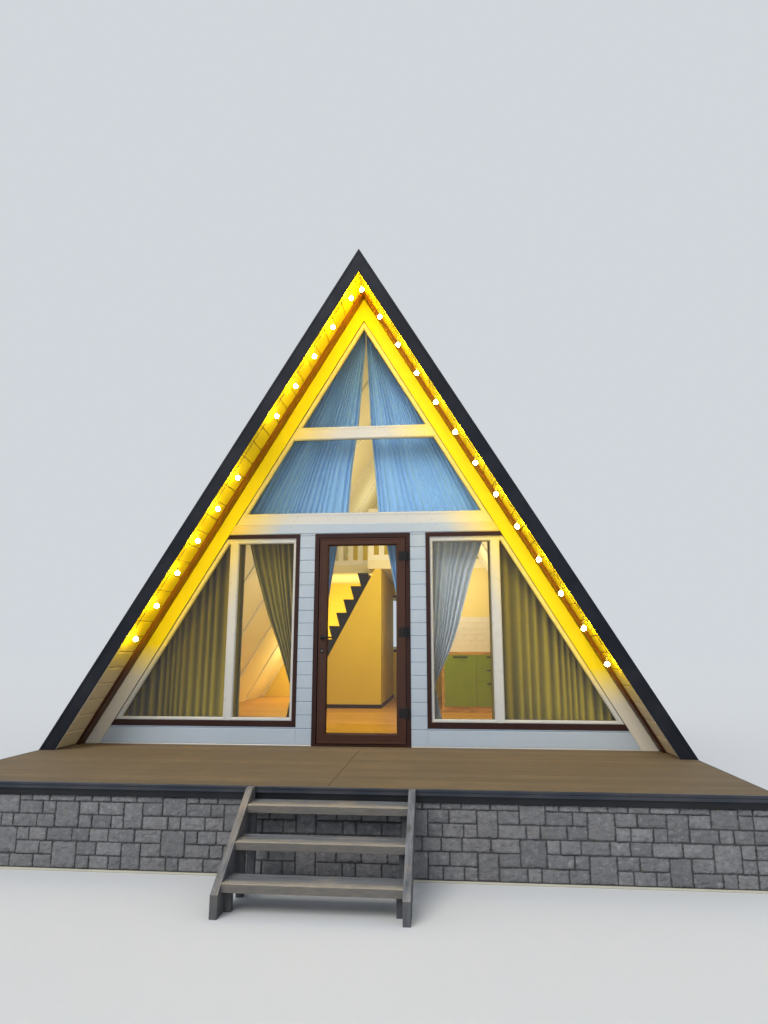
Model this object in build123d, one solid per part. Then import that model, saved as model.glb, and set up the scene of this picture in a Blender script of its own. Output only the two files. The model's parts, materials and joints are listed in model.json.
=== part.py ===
"""A-frame cabin on a raised platform, with a glazed front gable and a terrace.

Millimetres, +Z up. The outside of the front wall is the plane y = 0 while the
pieces are made, +Y runs into the house and +X to the right of someone who faces
the door. Each finished piece is shifted so that the origin lies on the ground
at the middle of the plan.
"""

from build123d import *
from math import atan, cos, sin
import os

# Levels above the ground
floor_top = 600
deck_thickness = 28
rim_height = 62

# Plan
roof_half_width = 3050
house_length = 7200
overhang = 500
terrace_depth = 2000
wall_thickness = 150

# Roof slopes, built up from the outside face inwards
roof_rise = 5160
roofing_thickness = 8
slab_thickness = 99
lining_thickness = 15
barge_thickness = 25
barge_lip = 3
ridge_flap = 150
ridge_sheet = 3
seam_count = 15
seam_height = 25
seam_width = 8
seam_margin = 30
seam_top_gap = 5
seam_foot = 60
mitre_gap = 2

# Platform edge and plinth
rim_thickness = 40
rim_setback = 8
plinth_thickness = 80
plinth_setback = 30
joist_width = 45
joist_pitch = 700

# Terrace steps
steps_centre_x = 47
steps_clear_width = 1090
tread_count = 3
first_drop = 85
tread_rise = 170
tread_going = 242
first_nosing = 195
tread_depth = 200
tread_thickness = 50
stringer_thickness = 46
stringer_depth = 190
stringer_run = 740
leg_width = 45
leg_setback = 60

# Front gable, widths measured square to the slope
rake_trim_width = 31
rake_trim_reach = 115
rake_board_width = 139
slope_frame_width = 38
opening_top = 2150
band_top = 2260
gable_sill_top = 2375
transom_bottom = 3210
transom_top = 3341
frame_setback = 6
frame_depth = 70
pane_setback = 35
pane_thickness = 24

# Side windows
window_inner_edge = 665
window_bottom = 184
casing_width = 42
casing_foot = 56
casing_proud = 12
frame_stile = 23
frame_foot = 22
frame_head = 45
mullion_width = 85
outer_pane_head = 25

# Door, opening outwards on hinges at its right edge
door_frame_half = 502.5
door_frame_width = 45
door_frame_depth = 112
threshold_height = 22
stop_width = 20
stop_gap = 10
leaf_thickness = 60
leaf_setback = 4
leaf_gap = 5
leaf_swing_gap = 9
leaf_stile = 80
leaf_foot_rail = 88
leaf_head_rail = 64
hinge_heights = (325, 1121, 1905)
hinge_axis_gap = 4.5
hinge_axis_reach = 18
hinge_radius = 11
hinge_pin_radius = 6
hinge_fit = 0.05
hinge_half = 48
hinge_slack = 1
hinge_plate = 30
hinge_plate_thickness = 4
handle_height = 1068
lock_height = 934
handle_plate_width = 32
handle_plate_margin = 45
handle_plate_thickness = 6
handle_neck_radius = 9
handle_reach = 46
lever_length = 125
lever_height = 20
lever_thickness = 14
lock_radius = 9
lock_reach = 8

# Back wall windows
back_window_half = 600
back_window_bottom = 900
back_window_top = 2050
back_loft_half = 300
back_loft_bottom = 2700
back_loft_top = 3450
back_frame_width = 50

# Rooms behind the glass
loft_top = 2450
loft_thickness = 150
partition_front = 4420
partition_thickness = 100
partition_corner_x = -230
stair_foot_x = -1570
stair_risers = 11
stair_going = 120
stair_width = 700
stair_reach = 267
stair_nosing = 60
stair_board = 40
stair_tread_thickness = 30
rail_height = 900
rail_thickness = 40
rail_bar = 90
rail_clearance = 2
rail_right_end = 900
kitchen_start = 780
kitchen_end = 1900
kitchen_depth = 580
kitchen_height = 910
worktop_thickness = 40
worktop_overhang = 20

# Curtains, their rails along the slopes and the rod over the door
rail_section = 18
rail_front = 210
rail_width = 20
rail_bottom = 60
rail_top = 4650
rod_radius = 8
rod_height = 2190
rod_front = 220
rod_half = 1580
rod_bracket = 16
rod_brackets_at = (-1400, -700, 0, 700, 1400)
curtain_front = 190
curtain_depth = 60
curtain_gap = 0.3
curtain_hem = 50
gable_hem = 2215
outer_curtain_lap = 105
tied_curtain_start = 680
door_curtain_edge = 490

# Free edges of the curtains, as (height above the floor, distance from the middle)
gable_left_edge = ((gable_hem, 198), (2900, 149), (3446, 78), (4388, 8))
gable_right_edge = ((gable_hem, 161), (2893, 106), (3442, 55), (4388, 6))
tied_left_edge = ((curtain_hem, 860), (520, 760), (600, 790), (943, 908), (1315, 1054), (1848, 1218))
tied_right_edge = ((curtain_hem, 850), (431, 770), (605, 742), (764, 819), (932, 900), (1153, 982),
                   (1778, 1154))
tied_curtain_gap = 15
door_left_edge = ((curtain_hem, 400), (1180, 430))
door_left_top = 279
door_right_edge = ((curtain_hem, 400), (1060, 430))
door_right_top = 213

# String of bulbs under the front edge of the roof
bulb_line = -426
cable_radius = 3.5
cable_offset = 8
cable_tail = 150
cable_bend = 30
bulb_drop = 124
bulb_radius = 23
bulb_neck_radius = 8
socket_radius = 10
socket_length = 32
socket_drop = 20
clip_radius = 5
bulb_pitch = 379
left_first_bulb = 330
right_first_bulb = 218
left_bulbs = 12
right_bulbs = 13
missing_left_bulb = 5

# What follows from the sizes above
run_per_rise = roof_half_width / roof_rise
lean = atan(run_per_rise)
apex_top = floor_top + roof_rise
roof_depth = roofing_thickness + slab_thickness + lining_thickness
board_line = roof_depth + rake_trim_width
frame_line = board_line + rake_board_width
pane_line = frame_line + slope_frame_width
house_back = house_length
plan_front = -(terrace_depth + stringer_run)
plan_back = house_back + overhang
plan_centre_y = (plan_front + plan_back) / 2
overcut = 1
rim_bottom = floor_top - deck_thickness - rim_height
loft_underside = loft_top - loft_thickness
stair_rise = loft_top / stair_risers


def apex(depth):
    """Height where the line at this depth inside the roof meets the ridge."""
    return apex_top - depth / sin(lean)


def slope_x(height, depth):
    """Half width between the slopes at a height above the floor, at a depth inside the roof."""
    return (apex(depth) - floor_top - height) * run_per_rise


def on_slope(along, depth):
    """A point of the right slope: distance down from the ridge line and depth inside the roof."""
    return (along * sin(lean) - depth * cos(lean), roof_rise - along * cos(lean) - depth * sin(lean))


def solid_from(face_points, along):
    """A prism: the flat outline given by its points, carried along a vector."""
    face = Face(Wire.make_polygon([Vector(*p) for p in face_points]))
    return Solid.extrude(face, Vector(*along))


def front_plate(outline, y_front, y_back):
    """A piece seen from the front: outline of (x, height above the floor), from y_front to y_back."""
    points = [(x, y_front, floor_top + z) for x, z in outline]
    return solid_from(points, (0, y_back - y_front, 0))


def block(x0, x1, y0, y1, z0, z1):
    """A box between two corners, heights above the ground."""
    return Pos((x0 + x1) / 2, (y0 + y1) / 2, (z0 + z1) / 2) * Box(x1 - x0, y1 - y0, z1 - z0)


def floor_block(x0, x1, y0, y1, z0, z1):
    """A box between two corners, heights above the floor."""
    return block(x0, x1, y0, y1, floor_top + z0, floor_top + z1)


def mirrored(shape):
    """The same piece on the other side of the house."""
    return shape.mirror(Plane.YZ)


def slope_strip(side, outer, inner, y_front, y_back, gap=0):
    """A board along one slope, from the floor to the ridge, between two depths inside the roof."""
    half_gap = gap / 2
    rise_lost = half_gap / run_per_rise
    top_outer = apex(outer) - floor_top - rise_lost
    top_inner = apex(inner) - floor_top - rise_lost
    outline = [
        (side * slope_x(0, outer), 0),
        (side * slope_x(0, inner), 0),
        (side * half_gap, top_inner),
        (side * half_gap, top_outer),
    ]
    return front_plate(outline, y_front, y_back)


def ring(outer, inner, y_front, y_back):
    """A rectangular frame, each rectangle given as (x0, x1, z0, z1) above the floor."""
    x0, x1, z0, z1 = outer
    u0, u1, w0, w1 = inner
    hole = floor_block(u0, u1, y_front - overcut, y_back + overcut, w0, w1)
    return floor_block(x0, x1, y_front, y_back, z0, z1) - hole


def save(name, *solids):
    """Write one piece, moved so that the origin is at the middle of the plan."""
    moved = [Pos(0, -plan_centre_y, 0) * s for s in solids]
    shape = moved[0] if len(moved) == 1 else Compound(children=moved)
    export_step(shape, f"parts/{name}.step")


def make_plinth():
    """Skirting walls with a stone face that close the space under the platform."""
    half = roof_half_width - plinth_setback
    front = -terrace_depth + plinth_setback
    back = plan_back - plinth_setback
    inner = half - plinth_thickness
    save("plinth_front", block(-half, half, front, front + plinth_thickness, 0, rim_bottom))
    save("plinth_back", block(-half, half, back - plinth_thickness, back, 0, rim_bottom))
    side = block(inner, half, front + plinth_thickness, back - plinth_thickness, 0, rim_bottom)
    save("plinth_sides", side, mirrored(side))


def make_platform():
    """Rim boards, joists, the terrace and back boards, and the house floor."""
    rim_top = floor_top - deck_thickness
    half = roof_half_width - rim_setback
    front = -terrace_depth + rim_setback
    back = plan_back - rim_setback
    inner_half = half - rim_thickness
    inner_front = front + rim_thickness
    inner_back = back - rim_thickness
    rim = block(-half, half, front, back, rim_bottom, rim_top)
    rim -= block(-inner_half, inner_half, inner_front, inner_back, rim_bottom - overcut, rim_top + overcut)
    save("platform_rim", rim)

    joists = []
    each_way = int((inner_half - joist_width / 2) // joist_pitch)
    for step in range(-each_way, each_way + 1):
        x0 = step * joist_pitch - joist_width / 2
        x1 = x0 + joist_width
        joists.append(block(x0, x1, inner_front, 0, rim_bottom, rim_top))
        joists.append(block(x0, x1, house_back, inner_back, rim_bottom, rim_top))
    save("deck_joists", *joists)

    terrace = block(-roof_half_width, roof_half_width, -terrace_depth, 0, rim_top, floor_top)
    back_strip = block(-roof_half_width, roof_half_width, house_back, plan_back, rim_top, floor_top)
    save("deck_boards", terrace, back_strip)

    floor = block(-roof_half_width, roof_half_width, 0, house_back, rim_top, floor_top)
    floor += block(-inner_half, inner_half, 0, house_back, rim_bottom, rim_top)
    save("house_floor", floor)


def make_steps():
    """Two sloping stringers, three thick treads and the short legs under them."""
    pitch = tread_rise / tread_going
    left = steps_centre_x - steps_clear_width / 2
    right = steps_centre_x + steps_clear_width / 2
    nosing_y = -terrace_depth - first_nosing
    nosing_z = floor_top - first_drop
    drop = stringer_depth / cos(atan(pitch))

    def edge(y):
        return nosing_z + (y - nosing_y) * pitch

    outline = [
        (-terrace_depth, floor_top),
        (nosing_y + first_drop / pitch, floor_top),
        (plan_front, edge(plan_front)),
        (plan_front, 0),
        (nosing_y + (drop - nosing_z) / pitch, 0),
        (-terrace_depth, edge(-terrace_depth) - drop),
    ]
    stringers = []
    for x in (left - stringer_thickness, right):
        stringers.append(solid_from([(x, y, z) for y, z in outline], (stringer_thickness, 0, 0)))
    save("step_stringers", *stringers)

    treads = []
    legs = []
    for i in range(tread_count):
        y = nosing_y - i * tread_going
        top = nosing_z - i * tread_rise
        bottom = top - tread_thickness
        treads.append(block(left, right, y, y + tread_depth, bottom, top))
        leg_y = y + leg_setback
        for x in (left, right - leg_width):
            legs.append(block(x, x + leg_width, leg_y, leg_y + leg_width, 0, bottom))
    save("step_treads", *treads)
    save("step_legs", *legs)


def roof_seam(side, y):
    """An upright seam of the metal roof, from the ridge cap's edge to just above the platform."""
    top = ridge_flap + seam_top_gap
    foot = (roof_rise - seam_foot) / cos(lean)
    corners = ((top, 0), (foot, 0), (foot, -seam_height), (top, -seam_height))
    outline = [(side * x, z) for x, z in (on_slope(*corner) for corner in corners)]
    return front_plate(outline, y - seam_width / 2, y + seam_width / 2)


def make_roof():
    """Slabs, metal roofing, ridge cap, barge boards, soffits and the boarding inside."""
    barge_front = -overhang
    barge_back = plan_back
    slab_front = barge_front + barge_thickness
    slab_back = barge_back - barge_thickness
    slab_line = roofing_thickness + slab_thickness
    for side, word in ((-1, "left"), (1, "right")):
        save(f"roofing_{word}", slope_strip(side, 0, roofing_thickness, slab_front, slab_back))
        save(f"roof_{word}", slope_strip(side, roofing_thickness, slab_line, slab_front, slab_back))

    barges = []
    soffits = []
    ceilings = []
    for side in (-1, 1):
        for y in (barge_front, slab_back):
            edge = slope_strip(side, 0, roof_depth + barge_lip, y, y + barge_thickness, mitre_gap)
            barges.append(edge)
        soffits.append(slope_strip(side, slab_line, roof_depth, slab_front, 0, mitre_gap))
        soffits.append(slope_strip(side, slab_line, roof_depth, house_back, slab_back, mitre_gap))
        ceilings.append(slope_strip(side, slab_line, roof_depth, 0, house_back, mitre_gap))
    save("barge_boards", *barges)
    save("soffits", *soffits)
    save("ceilings", *ceilings)

    x_out, z_out = on_slope(ridge_flap, -ridge_sheet)
    x_in, z_in = on_slope(ridge_flap, 0)
    top = roof_rise + ridge_sheet / sin(lean)
    cap = [(0, top), (x_out, z_out), (x_in, z_in), (0, roof_rise), (-x_in, z_in), (-x_out, z_out)]
    save("ridge_cap", front_plate(cap, barge_front, barge_back))

    pan = (barge_back - barge_front - 2 * seam_margin) / (seam_count + 1)
    for side, word in ((-1, "left"), (1, "right")):
        seams = []
        for i in range(1, seam_count + 1):
            seams.append(roof_seam(side, barge_front + seam_margin + i * pan))
        save(f"roof_seams_{word}", *seams)


def make_front_wall():
    """Piers beside the door, the band over it, sills under the windows and the rake boards."""
    pier = floor_block(door_frame_half, window_inner_edge, 0, wall_thickness, 0, opening_top)
    save("front_piers", pier, mirrored(pier))

    low = slope_x(opening_top, frame_line)
    high = slope_x(band_top, frame_line)
    band = [(-low, opening_top), (low, opening_top), (high, band_top), (-high, band_top)]
    save("front_band", front_plate(band, 0, wall_thickness))

    sill = [
        (window_inner_edge, 0),
        (slope_x(0, frame_line), 0),
        (slope_x(window_bottom, frame_line), window_bottom),
        (window_inner_edge, window_bottom),
    ]
    sill = front_plate(sill, 0, wall_thickness)
    save("front_sills", sill, mirrored(sill))

    for side, word in ((-1, "left"), (1, "right")):
        save(f"front_rake_{word}", slope_strip(side, roof_depth, frame_line, 0, wall_thickness))

    trims = []
    for side in (-1, 1):
        for y in (-rake_trim_reach, house_back):
            trim = slope_strip(side, roof_depth, board_line, y, y + rake_trim_reach, mitre_gap)
            trims.append(trim)
    save("rake_trims", *trims)


def make_front_windows():
    """White window frames with brown casings, and the sealed panes in them."""
    y0 = frame_setback
    y1 = frame_setback + frame_depth
    half = slope_x(band_top, frame_line)
    gable = front_plate([(-half, band_top), (half, band_top), (0, apex(frame_line) - floor_top)], y0, y1)
    low, high = slope_x(gable_sill_top, pane_line), slope_x(transom_bottom, pane_line)
    lower = [(-low, gable_sill_top), (low, gable_sill_top), (high, transom_bottom), (-high, transom_bottom)]
    edge = slope_x(transom_top, pane_line)
    upper = [(-edge, transom_top), (edge, transom_top), (0, apex(pane_line) - floor_top)]
    for opening in (lower, upper):
        gable -= front_plate(opening, y0 - overcut, y1 + overcut)
    save("gable_window_frame", gable)

    x0 = window_inner_edge
    x1 = x0 + casing_width
    z0 = window_bottom
    z1 = z0 + casing_foot
    z3 = opening_top
    z2 = z3 - casing_width
    casing = [
        (x0, z0),
        (slope_x(z0, frame_line), z0),
        (slope_x(z1, frame_line), z1),
        (x1, z1),
        (x1, z2),
        (slope_x(z2, frame_line), z2),
        (slope_x(z3, frame_line), z3),
        (x0, z3),
    ]
    casing = front_plate(casing, -casing_proud, wall_thickness)

    frame = [(x1, z1), (slope_x(z1, frame_line), z1), (slope_x(z2, frame_line), z2), (x1, z2)]
    side_frame = front_plate(frame, y0, y1)
    p0 = z1 + frame_foot
    p1 = z2 - frame_head
    inner_left = x1 + frame_stile
    mullion_end = mullion_outer_x()
    mullion_start = mullion_end - mullion_width
    inner = [(inner_left, p0), (mullion_start, p0), (mullion_start, p1), (inner_left, p1)]
    outer = [
        (mullion_end, p0),
        (slope_x(p0, pane_line), p0),
        (slope_x(p1, pane_line), p1),
        (mullion_end, p1),
    ]
    for opening in (inner, outer):
        side_frame -= front_plate(opening, y0 - overcut, y1 + overcut)
    save("side_window_frames", side_frame, mirrored(side_frame))

    back_casings, back_panes = make_back_windows()
    save("window_casings", casing, mirrored(casing), *back_casings)

    g0 = pane_setback
    g1 = pane_setback + pane_thickness
    save("gable_glass", front_plate(lower, g0, g1), front_plate(upper, g0, g1))
    panes = [front_plate(inner, g0, g1), front_plate(outer, g0, g1)]
    panes += [mirrored(p) for p in panes]
    save("window_glass", *panes, *back_panes)


def mullion_outer_x():
    """Outer edge of the side windows' mullion: the outer pane keeps a short top beside it."""
    pane_top = opening_top - casing_width - frame_head
    return slope_x(pane_top, pane_line) - outer_pane_head


def back_openings():
    """The two windows of the back wall as (x0, x1, z0, z1) above the floor."""
    lower = (-back_window_half, back_window_half, back_window_bottom, back_window_top)
    upper = (-back_loft_half, back_loft_half, back_loft_bottom, back_loft_top)
    return lower, upper


def inset(rectangle, by):
    """The rectangle that lies this far inside another."""
    x0, x1, z0, z1 = rectangle
    return x0 + by, x1 - by, z0 + by, z1 - by


def make_back_windows():
    """Frames of the back windows; gives back their casings and panes."""
    inside = house_back - wall_thickness
    casings = []
    frames = []
    panes = []
    for opening in back_openings():
        frame = inset(opening, casing_width)
        pane = inset(frame, back_frame_width)
        casings.append(ring(opening, frame, inside, house_back + casing_proud))
        outer_face = house_back - frame_setback
        frames.append(ring(frame, pane, outer_face - frame_depth, outer_face))
        x0, x1, z0, z1 = pane
        back = house_back - pane_setback
        panes.append(floor_block(x0, x1, back - pane_thickness, back, z0, z1))
    save("back_window_frames", *frames)
    return casings, panes


def make_back_wall():
    """The closed gable at the back, with a window in each storey."""
    inside = house_back - wall_thickness
    foot = slope_x(0, roof_depth)
    outline = [(-foot, 0), (foot, 0), (0, apex(roof_depth) - floor_top)]
    wall = front_plate(outline, inside, house_back)
    for x0, x1, z0, z1 in back_openings():
        wall -= floor_block(x0, x1, inside - overcut, house_back + overcut, z0, z1)
    save("back_wall", wall)


def make_door():
    """Frame with stop and threshold, the glazed leaf, its hinges, handles and lock."""
    face = -casing_proud
    frame_back = face + door_frame_depth
    outer = (-door_frame_half, door_frame_half, 0, opening_top)
    jamb = door_frame_half - door_frame_width
    head = opening_top - door_frame_width
    frame = ring(outer, (-jamb, jamb, threshold_height, head), face, frame_back)
    leaf_face = face + leaf_setback
    leaf_back = leaf_face + leaf_thickness
    stop_hole = (-jamb + stop_width, jamb - stop_width, threshold_height + stop_width, head - stop_width)
    stop = ring((-jamb, jamb, threshold_height, head), stop_hole, leaf_back + stop_gap, frame_back)
    save("door_frame", frame + stop)

    left = -jamb + leaf_swing_gap
    right = jamb - leaf_gap
    foot = threshold_height + leaf_gap
    top = head - leaf_gap
    glazed = (left + leaf_stile, right - leaf_stile, foot + leaf_foot_rail, top - leaf_head_rail)
    leaf = ring((left, right, foot, top), glazed, leaf_face, leaf_back)
    save("door_leaf", leaf)
    x0, x1, z0, z1 = glazed
    middle = (leaf_face + leaf_back) / 2
    pane_half = pane_thickness / 2
    save("door_glass", floor_block(x0, x1, middle - pane_half, middle + pane_half, z0, z1))

    make_hinges(jamb, right, face, leaf_face)
    make_handle(left + leaf_stile / 2, leaf_face, leaf_back)


def make_hinges(jamb, leaf_edge, frame_face, leaf_face):
    """Three surface hinges: pin and lower knuckle on the frame, upper knuckle on the leaf."""
    axis_x = jamb + hinge_axis_gap
    axis_y = frame_face - hinge_axis_reach
    fixed = []
    moving = []
    for height in hinge_heights:
        z = floor_top + height
        low, high = z - hinge_half, z + hinge_half
        knuckle_x = axis_x + hinge_pin_radius
        lower = Pos(axis_x, axis_y, (low + z) / 2) * Cylinder(hinge_radius, z - low)
        lower += block(axis_x, knuckle_x, axis_y, frame_face, low, z)
        pad_front = frame_face - hinge_plate_thickness
        lower += block(axis_x, axis_x + hinge_plate, pad_front, frame_face, low, z)
        lower += Pos(axis_x, axis_y, z + hinge_half / 2) * Cylinder(hinge_pin_radius, hinge_half)
        fixed.append(lower)

        start = z + hinge_slack
        plate_front = leaf_face - hinge_plate_thickness
        upper = Pos(axis_x, axis_y, (start + high) / 2) * Cylinder(hinge_radius, high - start)
        upper += block(leaf_edge - hinge_plate, leaf_edge, plate_front, leaf_face, start, high)
        neck = block(leaf_edge - hinge_pin_radius, leaf_edge, axis_y, leaf_face, start, high)
        upper += neck
        bore = Cylinder(hinge_pin_radius + hinge_fit, high - start + 2 * overcut)
        upper -= Pos(axis_x, axis_y, (start + high) / 2) * bore
        moving.append(upper)
    save("hinge_pins", *fixed)
    save("door_hinges", *moving)


def make_handle(x, leaf_face, leaf_back):
    """Long plates with a lever and a lock cylinder, one outside and one inside."""
    low = lock_height - handle_plate_margin
    high = handle_height + handle_plate_margin
    half = handle_plate_width / 2
    sets = []
    for surface, way in ((leaf_face, -1), (leaf_back, 1)):
        plate_end = surface + way * handle_plate_thickness
        neck_end = surface + way * handle_reach
        y0, y1 = sorted((surface, plate_end))
        plate = floor_block(x - half, x + half, y0, y1, low, high)
        neck_length = abs(neck_end - surface)
        neck = Cylinder(handle_neck_radius, neck_length, rotation=(90, 0, 0))
        plate += Pos(x, (surface + neck_end) / 2, floor_top + handle_height) * neck
        y0, y1 = sorted((neck_end, neck_end - way * lever_thickness))
        tip = x - handle_neck_radius + lever_length
        half_lever = lever_height / 2
        z0, z1 = handle_height - half_lever, handle_height + half_lever
        plate += floor_block(x - handle_neck_radius, tip, y0, y1, z0, z1)
        lock = Cylinder(lock_radius, lock_reach, rotation=(90, 0, 0))
        lock_y = plate_end + way * lock_reach / 2
        plate += Pos(x, lock_y, floor_top + lock_height) * lock
        sets.append(plate)
    save("door_handles", *sets)


def stair_nosing_x(number):
    """Where the front edge of a stair tread lies."""
    return stair_foot_x + number * stair_going - stair_reach


def make_rooms():
    """Partition with the steep stair on it, loft floor and railing, kitchen wall and units."""
    inside = house_back - wall_thickness
    steep = stair_rise / stair_going
    top_x = stair_foot_x + loft_underside / steep
    outline = [
        (stair_foot_x, 0),
        (partition_corner_x, 0),
        (partition_corner_x, loft_underside),
        (top_x, loft_underside),
    ]
    partition = front_plate(outline, partition_front, partition_front + partition_thickness)
    side_x = partition_corner_x - partition_thickness
    partition += floor_block(side_x, partition_corner_x, partition_front + partition_thickness,
                             inside, 0, loft_underside)
    save("partition", partition)

    landing_x = stair_nosing_x(stair_risers) + stair_nosing
    steps = [(stair_foot_x, 0), (stair_nosing_x(1) + stair_nosing, 0)]
    for i in range(1, stair_risers):
        steps.append((stair_nosing_x(i), i * stair_rise))
        steps.append((stair_nosing_x(i + 1) + stair_nosing, i * stair_rise))
    steps.append((landing_x, (landing_x - stair_foot_x) * steep))
    stair_back = partition_front + stair_width
    stair = front_plate(steps, partition_front, partition_front + stair_board)
    stair += front_plate(steps, stair_back - stair_board, stair_back)
    for i in range(1, stair_risers):
        x0 = stair_nosing_x(i)
        x1 = stair_nosing_x(i + 1) + stair_nosing
        z1 = i * stair_rise
        y0, y1 = partition_front + stair_board, stair_back - stair_board
        stair += floor_block(x0, x1, y0, y1, z1 - stair_tread_thickness, z1)
    stair_space = front_plate(outline, partition_front, partition_front + partition_thickness)
    save("stair", stair - stair_space)

    wide, narrow = slope_x(loft_underside, roof_depth), slope_x(loft_top, roof_depth)
    loft = [(-wide, loft_underside), (wide, loft_underside), (narrow, loft_top), (-narrow, loft_top)]
    loft = front_plate(loft, partition_front, inside)
    well = floor_block(-wide - overcut, landing_x, partition_front - overcut, stair_back,
                       loft_underside - overcut, loft_top + overcut)
    save("loft_floor", loft - well)
    make_railing(landing_x, stair_back)

    outline = [
        (kitchen_start, 0),
        (slope_x(0, roof_depth), 0),
        (slope_x(loft_underside, roof_depth), loft_underside),
        (kitchen_start, loft_underside),
    ]
    wall_back = partition_front + partition_thickness
    save("kitchen_wall", front_plate(outline, partition_front, wall_back))
    front = partition_front - kitchen_depth
    base_top = kitchen_height - worktop_thickness
    units = floor_block(kitchen_start, kitchen_end, front, partition_front, 0, base_top)
    units += floor_block(kitchen_start - worktop_overhang, kitchen_end, front - worktop_overhang,
                         partition_front, base_top, kitchen_height)
    save("kitchen_units", units)


def make_railing(landing_x, stair_back):
    """White board railing along the open edges of the loft, cut to the slope of the ceiling."""
    head = slope_x(loft_top + rail_height, roof_depth)
    well_side = (-slope_x(loft_top, roof_depth), landing_x, stair_back)
    front_side = (landing_x, rail_right_end, partition_front)
    clear = roof_depth + rail_clearance
    foot = slope_x(0, clear)
    inside = front_plate([(-foot, 0), (foot, 0), (0, apex(clear) - floor_top)], 0, house_back)
    railings = []
    for x0, x1, y in (well_side, front_side):
        y1 = y + rail_thickness
        hand = rail_height + loft_top
        run = floor_block(x0, x1, y, y1, loft_top, loft_top + rail_bar)
        run += floor_block(max(x0, -head), x1, y, y1, hand - rail_bar, hand)
        bars = int((x1 - x0 + rail_bar) // (2 * rail_bar))
        for i in range(bars):
            right = x1 - 2 * i * rail_bar
            run += floor_block(right - rail_bar, right, y, y1, loft_top, hand)
        railings.append(run & inside)
    save("loft_railing", *railings)


def make_curtains():
    """Curtains as flat panels of their folded depth, the sloping rails and the long rod."""
    rails = []
    for side in (-1, 1):
        outline = [
            (side * slope_x(rail_bottom, roof_depth), rail_bottom),
            (side * slope_x(rail_bottom, roof_depth + rail_section), rail_bottom),
            (side * slope_x(rail_top, roof_depth + rail_section), rail_top),
            (side * slope_x(rail_top, roof_depth), rail_top),
        ]
        rails.append(front_plate(outline, rail_front, rail_front + rail_width))
    rod = Cylinder(rod_radius, 2 * rod_half, rotation=(0, 90, 0))
    rod = Pos(0, rod_front, floor_top + rod_height) * rod
    half = rod_bracket / 2
    for x in rod_brackets_at:
        z0, z1 = rod_height - half, rod_height + half
        rod += floor_block(x - half, x + half, wall_thickness, rod_front, z0, z1)
    save("curtain_rails", rod, *rails)

    hang = roof_depth + rail_section + curtain_gap
    y0 = curtain_front
    y1 = curtain_front + curtain_depth
    top = rod_height - rod_radius - curtain_gap

    def panel(side, points):
        """One curtain of (distance from the middle, height above the floor), on one side."""
        return front_plate([(side * x, z) for x, z in points], y0, y1)

    gable = []
    for side, free_edge in ((-1, gable_left_edge), (1, gable_right_edge)):
        points = [(x, z) for z, x in free_edge]
        inner_x = points[-1][0]
        points.append((inner_x, slope_height(inner_x, hang)))
        points.append((slope_x(gable_hem, hang), gable_hem))
        gable.append(panel(side, points))
    save("gable_curtains", *gable)

    start = mullion_outer_x() - outer_curtain_lap
    hem = curtain_hem
    outer = [(start, hem), (slope_x(hem, hang), hem), (slope_x(top, hang), top), (start, top)]
    sides = [panel(side, outer) for side in (1, -1)]
    for side, free_edge in ((1, tied_right_edge), (-1, tied_left_edge)):
        tied = [(tied_curtain_start, hem)] + [(x, z) for z, x in free_edge]
        tied += [(start - tied_curtain_gap, top), (tied_curtain_start, top)]
        sides.append(panel(side, tied))
    save("side_curtains", *sides)

    door = []
    sheers = ((-1, door_left_edge, door_left_top), (1, door_right_edge, door_right_top))
    for side, free_edge, top_x in sheers:
        points = [(door_curtain_edge, hem)] + [(x, z) for z, x in free_edge]
        door.append(panel(side, points + [(top_x, top), (door_curtain_edge, top)]))
    save("door_curtains", *door)


def slope_height(half_width, depth):
    """Height above the floor where the space between the slopes is this wide."""
    return apex(depth) - floor_top - half_width / run_per_rise


def make_lights():
    """A cable clipped along both soffits, with sockets and round bulbs that hang from it."""
    under = roof_depth + cable_offset
    soffit_apex = apex(roof_depth)

    def cable_point(along_bulb, side):
        """Where the cable carries a bulb that hangs this far down the slope."""
        z = soffit_apex - along_bulb * cos(lean) + bulb_drop
        x = side * (apex(under) - z) * run_per_rise
        return Vector(x, bulb_line, z)

    hangers = []
    ends = []
    for side, first, count in ((-1, left_first_bulb, left_bulbs), (1, right_first_bulb, right_bulbs)):
        for i in range(count):
            if side < 0 and i == missing_left_bulb:
                continue
            hangers.append(cable_point(first + i * bulb_pitch, side))
        ends.append(cable_point(first + (count - 1) * bulb_pitch + cable_tail, side))
    path = FilletPolyline([ends[0], Vector(0, bulb_line, apex(under)), ends[1]], radius=cable_bend)
    start = path ^ 0
    cable = sweep(start * Circle(cable_radius), path=path)
    bulbs = []
    up = (Align.CENTER, Align.CENTER, Align.MIN)
    down = (Align.CENTER, Align.CENTER, Align.MAX)
    for at in hangers:
        side = 1 if at.X > 0 else -1
        away = Vector(side * cos(lean), 0, sin(lean))
        cable += Plane(origin=at, z_dir=away) * Cylinder(clip_radius, cable_offset, align=up)
        cable += Pos(*at) * Cylinder(cable_radius, socket_drop, align=down)
        cable += Pos(at.X, at.Y, at.Z - socket_drop) * Cylinder(socket_radius, socket_length, align=down)
        centre = at - Vector(0, 0, bulb_drop)
        neck_length = bulb_drop - socket_drop - socket_length
        bulb = Pos(*centre) * Sphere(bulb_radius)
        bulb += Pos(*centre) * Cylinder(bulb_neck_radius, neck_length, align=up)
        bulbs.append(bulb)
    save("light_cable", cable)
    save("light_bulbs", *bulbs)


def main():
    """Make every piece of the cabin."""
    os.makedirs("parts", exist_ok=True)
    make_plinth()
    make_platform()
    make_steps()
    make_roof()
    make_front_wall()
    make_front_windows()
    make_back_wall()
    make_door()
    make_rooms()
    make_curtains()
    make_lights()


main()
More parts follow.
